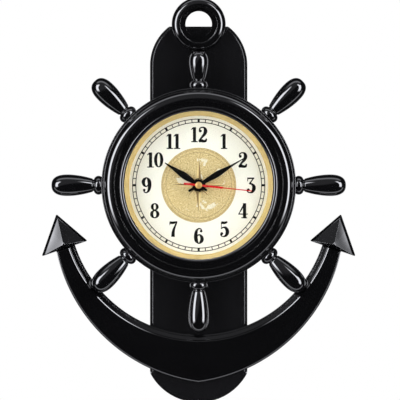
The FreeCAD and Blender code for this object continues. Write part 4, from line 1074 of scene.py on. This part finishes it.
bpy.context.scene.world = world
world.use_nodes = True
tree = world.node_tree
tree.nodes.clear()
path = add(tree, "ShaderNodeLightPath")
axes = add(tree, "ShaderNodeSeparateXYZ", {0: add(tree, "ShaderNodeTexCoord").outputs["Generated"]})
to_right = axes.outputs["X"]
away = axes.outputs["Y"]
upwards = axes.outputs["Z"]


def reckon(operation, *values):
    """Math node of the room on sockets and numbers."""
    return add(tree, "ShaderNodeMath", dict(enumerate(values)), operation=operation)


def ramp(value, start, end, low, high):
    """Smooth change from low to high as a value goes from start to end."""
    return ranged(tree, value, start, end, low, high, interpolation_type="SMOOTHSTEP")


# Angles in degrees: off_axis from straight ahead of the dial, and rise from level at either side of it.
off_axis = reckon("DEGREES", reckon("ARCCOSINE", reckon("MULTIPLY", away, -1.0)))
rise = reckon("DEGREES", reckon("ARCTAN2", upwards, reckon("ABSOLUTE", to_right)))
on_right = ramp(to_right, -0.05, 0.05, 0.0, 1.0)
top_limit = reckon("MULTIPLY_ADD", on_right, 8.0, 58.0)
upper = ramp(reckon("SUBTRACT", rise, top_limit), -14.0, 6.0, 1.0, 0.0)
lower = ramp(rise, -28.0, -10.0, 0.0, 1.0)
strip_reach = reckon("MULTIPLY_ADD", on_right, -1.5, ramp(rise, 30.0, 44.0, 65.5, 53.5))
far_edge = reckon("SUBTRACT", off_axis, strip_reach)
across = reckon("MULTIPLY", ramp(off_axis, 40.0, 44.0, 0.0, 1.0), ramp(far_edge, -5.0, 3.0, 1.0, 0.0))
soft_strip = reckon("MULTIPLY", reckon("MULTIPLY", across, upper), lower)
leaning = reckon("ADD", reckon("MULTIPLY", to_right, -0.6), reckon("MULTIPLY", upwards, 0.8))
glow = reckon("MULTIPLY", ramp(leaning, 0.05, 0.3, 0.0, 1.0), ramp(off_axis, 60.0, 85.0, 1.0, 0.0))
behind = ramp(away, 0.72, 1.0, 0.012, 0.4)
lit = reckon("MULTIPLY_ADD", soft_strip, 8.0, behind)
overhead = reckon("MULTIPLY", ramp(off_axis, 66.0, 72.0, 0.0, 1.0), ramp(off_axis, 84.0, 92.0, 1.0, 0.0))
overhead = reckon("MULTIPLY", overhead, ramp(rise, 40.0, 60.0, 0.0, 1.2))
under = reckon("MULTIPLY", ramp(off_axis, 76.0, 80.0, 0.0, 1.0), ramp(off_axis, 90.0, 94.0, 1.0, 0.0))
under = reckon("MULTIPLY", under, ramp(rise, -28.0, -12.0, 1.1, 0.0))
strength = reckon("ADD", reckon("ADD", reckon("MULTIPLY_ADD", glow, 0.15, lit), overhead), under)
seen = add(tree, "ShaderNodeBackground", {"Color": (1, 1, 1, 1)})
gloss = add(tree, "ShaderNodeBackground", {"Color": (0.93, 0.94, 1.0, 1), "Strength": strength})
ambient = add(tree, "ShaderNodeBackground", {"Strength": ramp(away, 0.0, 0.7, 0.14, 1.1)})
shiny = reckon("MAXIMUM", path.outputs["Is Glossy Ray"], path.outputs["Is Transmission Ray"])
lighting = add(tree, "ShaderNodeMixShader", {0: shiny, 1: ambient, 2: gloss})
shown = add(tree, "ShaderNodeMixShader", {0: path.outputs["Is Camera Ray"], 1: lighting, 2: seen})
add(tree, "ShaderNodeOutputWorld", {"Surface": shown})


# The camera stands six metres in front with a long lens, level with the middle of the clock. The width that
# it takes in is a compromise between the clock's width and its height in the photograph.
sensor_width = 36.0
lens_distance = 5.97
width_in_view = 0.4022
lens = bpy.data.cameras.new("camera")
lens.sensor_width = sensor_width
lens.lens = sensor_width * lens_distance / width_in_view
lens.clip_end = 30.0
camera = placed("camera", lens)
camera.location = (0.00133, -6.0, -0.13485)
camera.rotation_euler = (math.pi / 2, 0, 0)
bpy.context.scene.camera = camera
bpy.context.scene.view_settings.view_transform = "Standard"
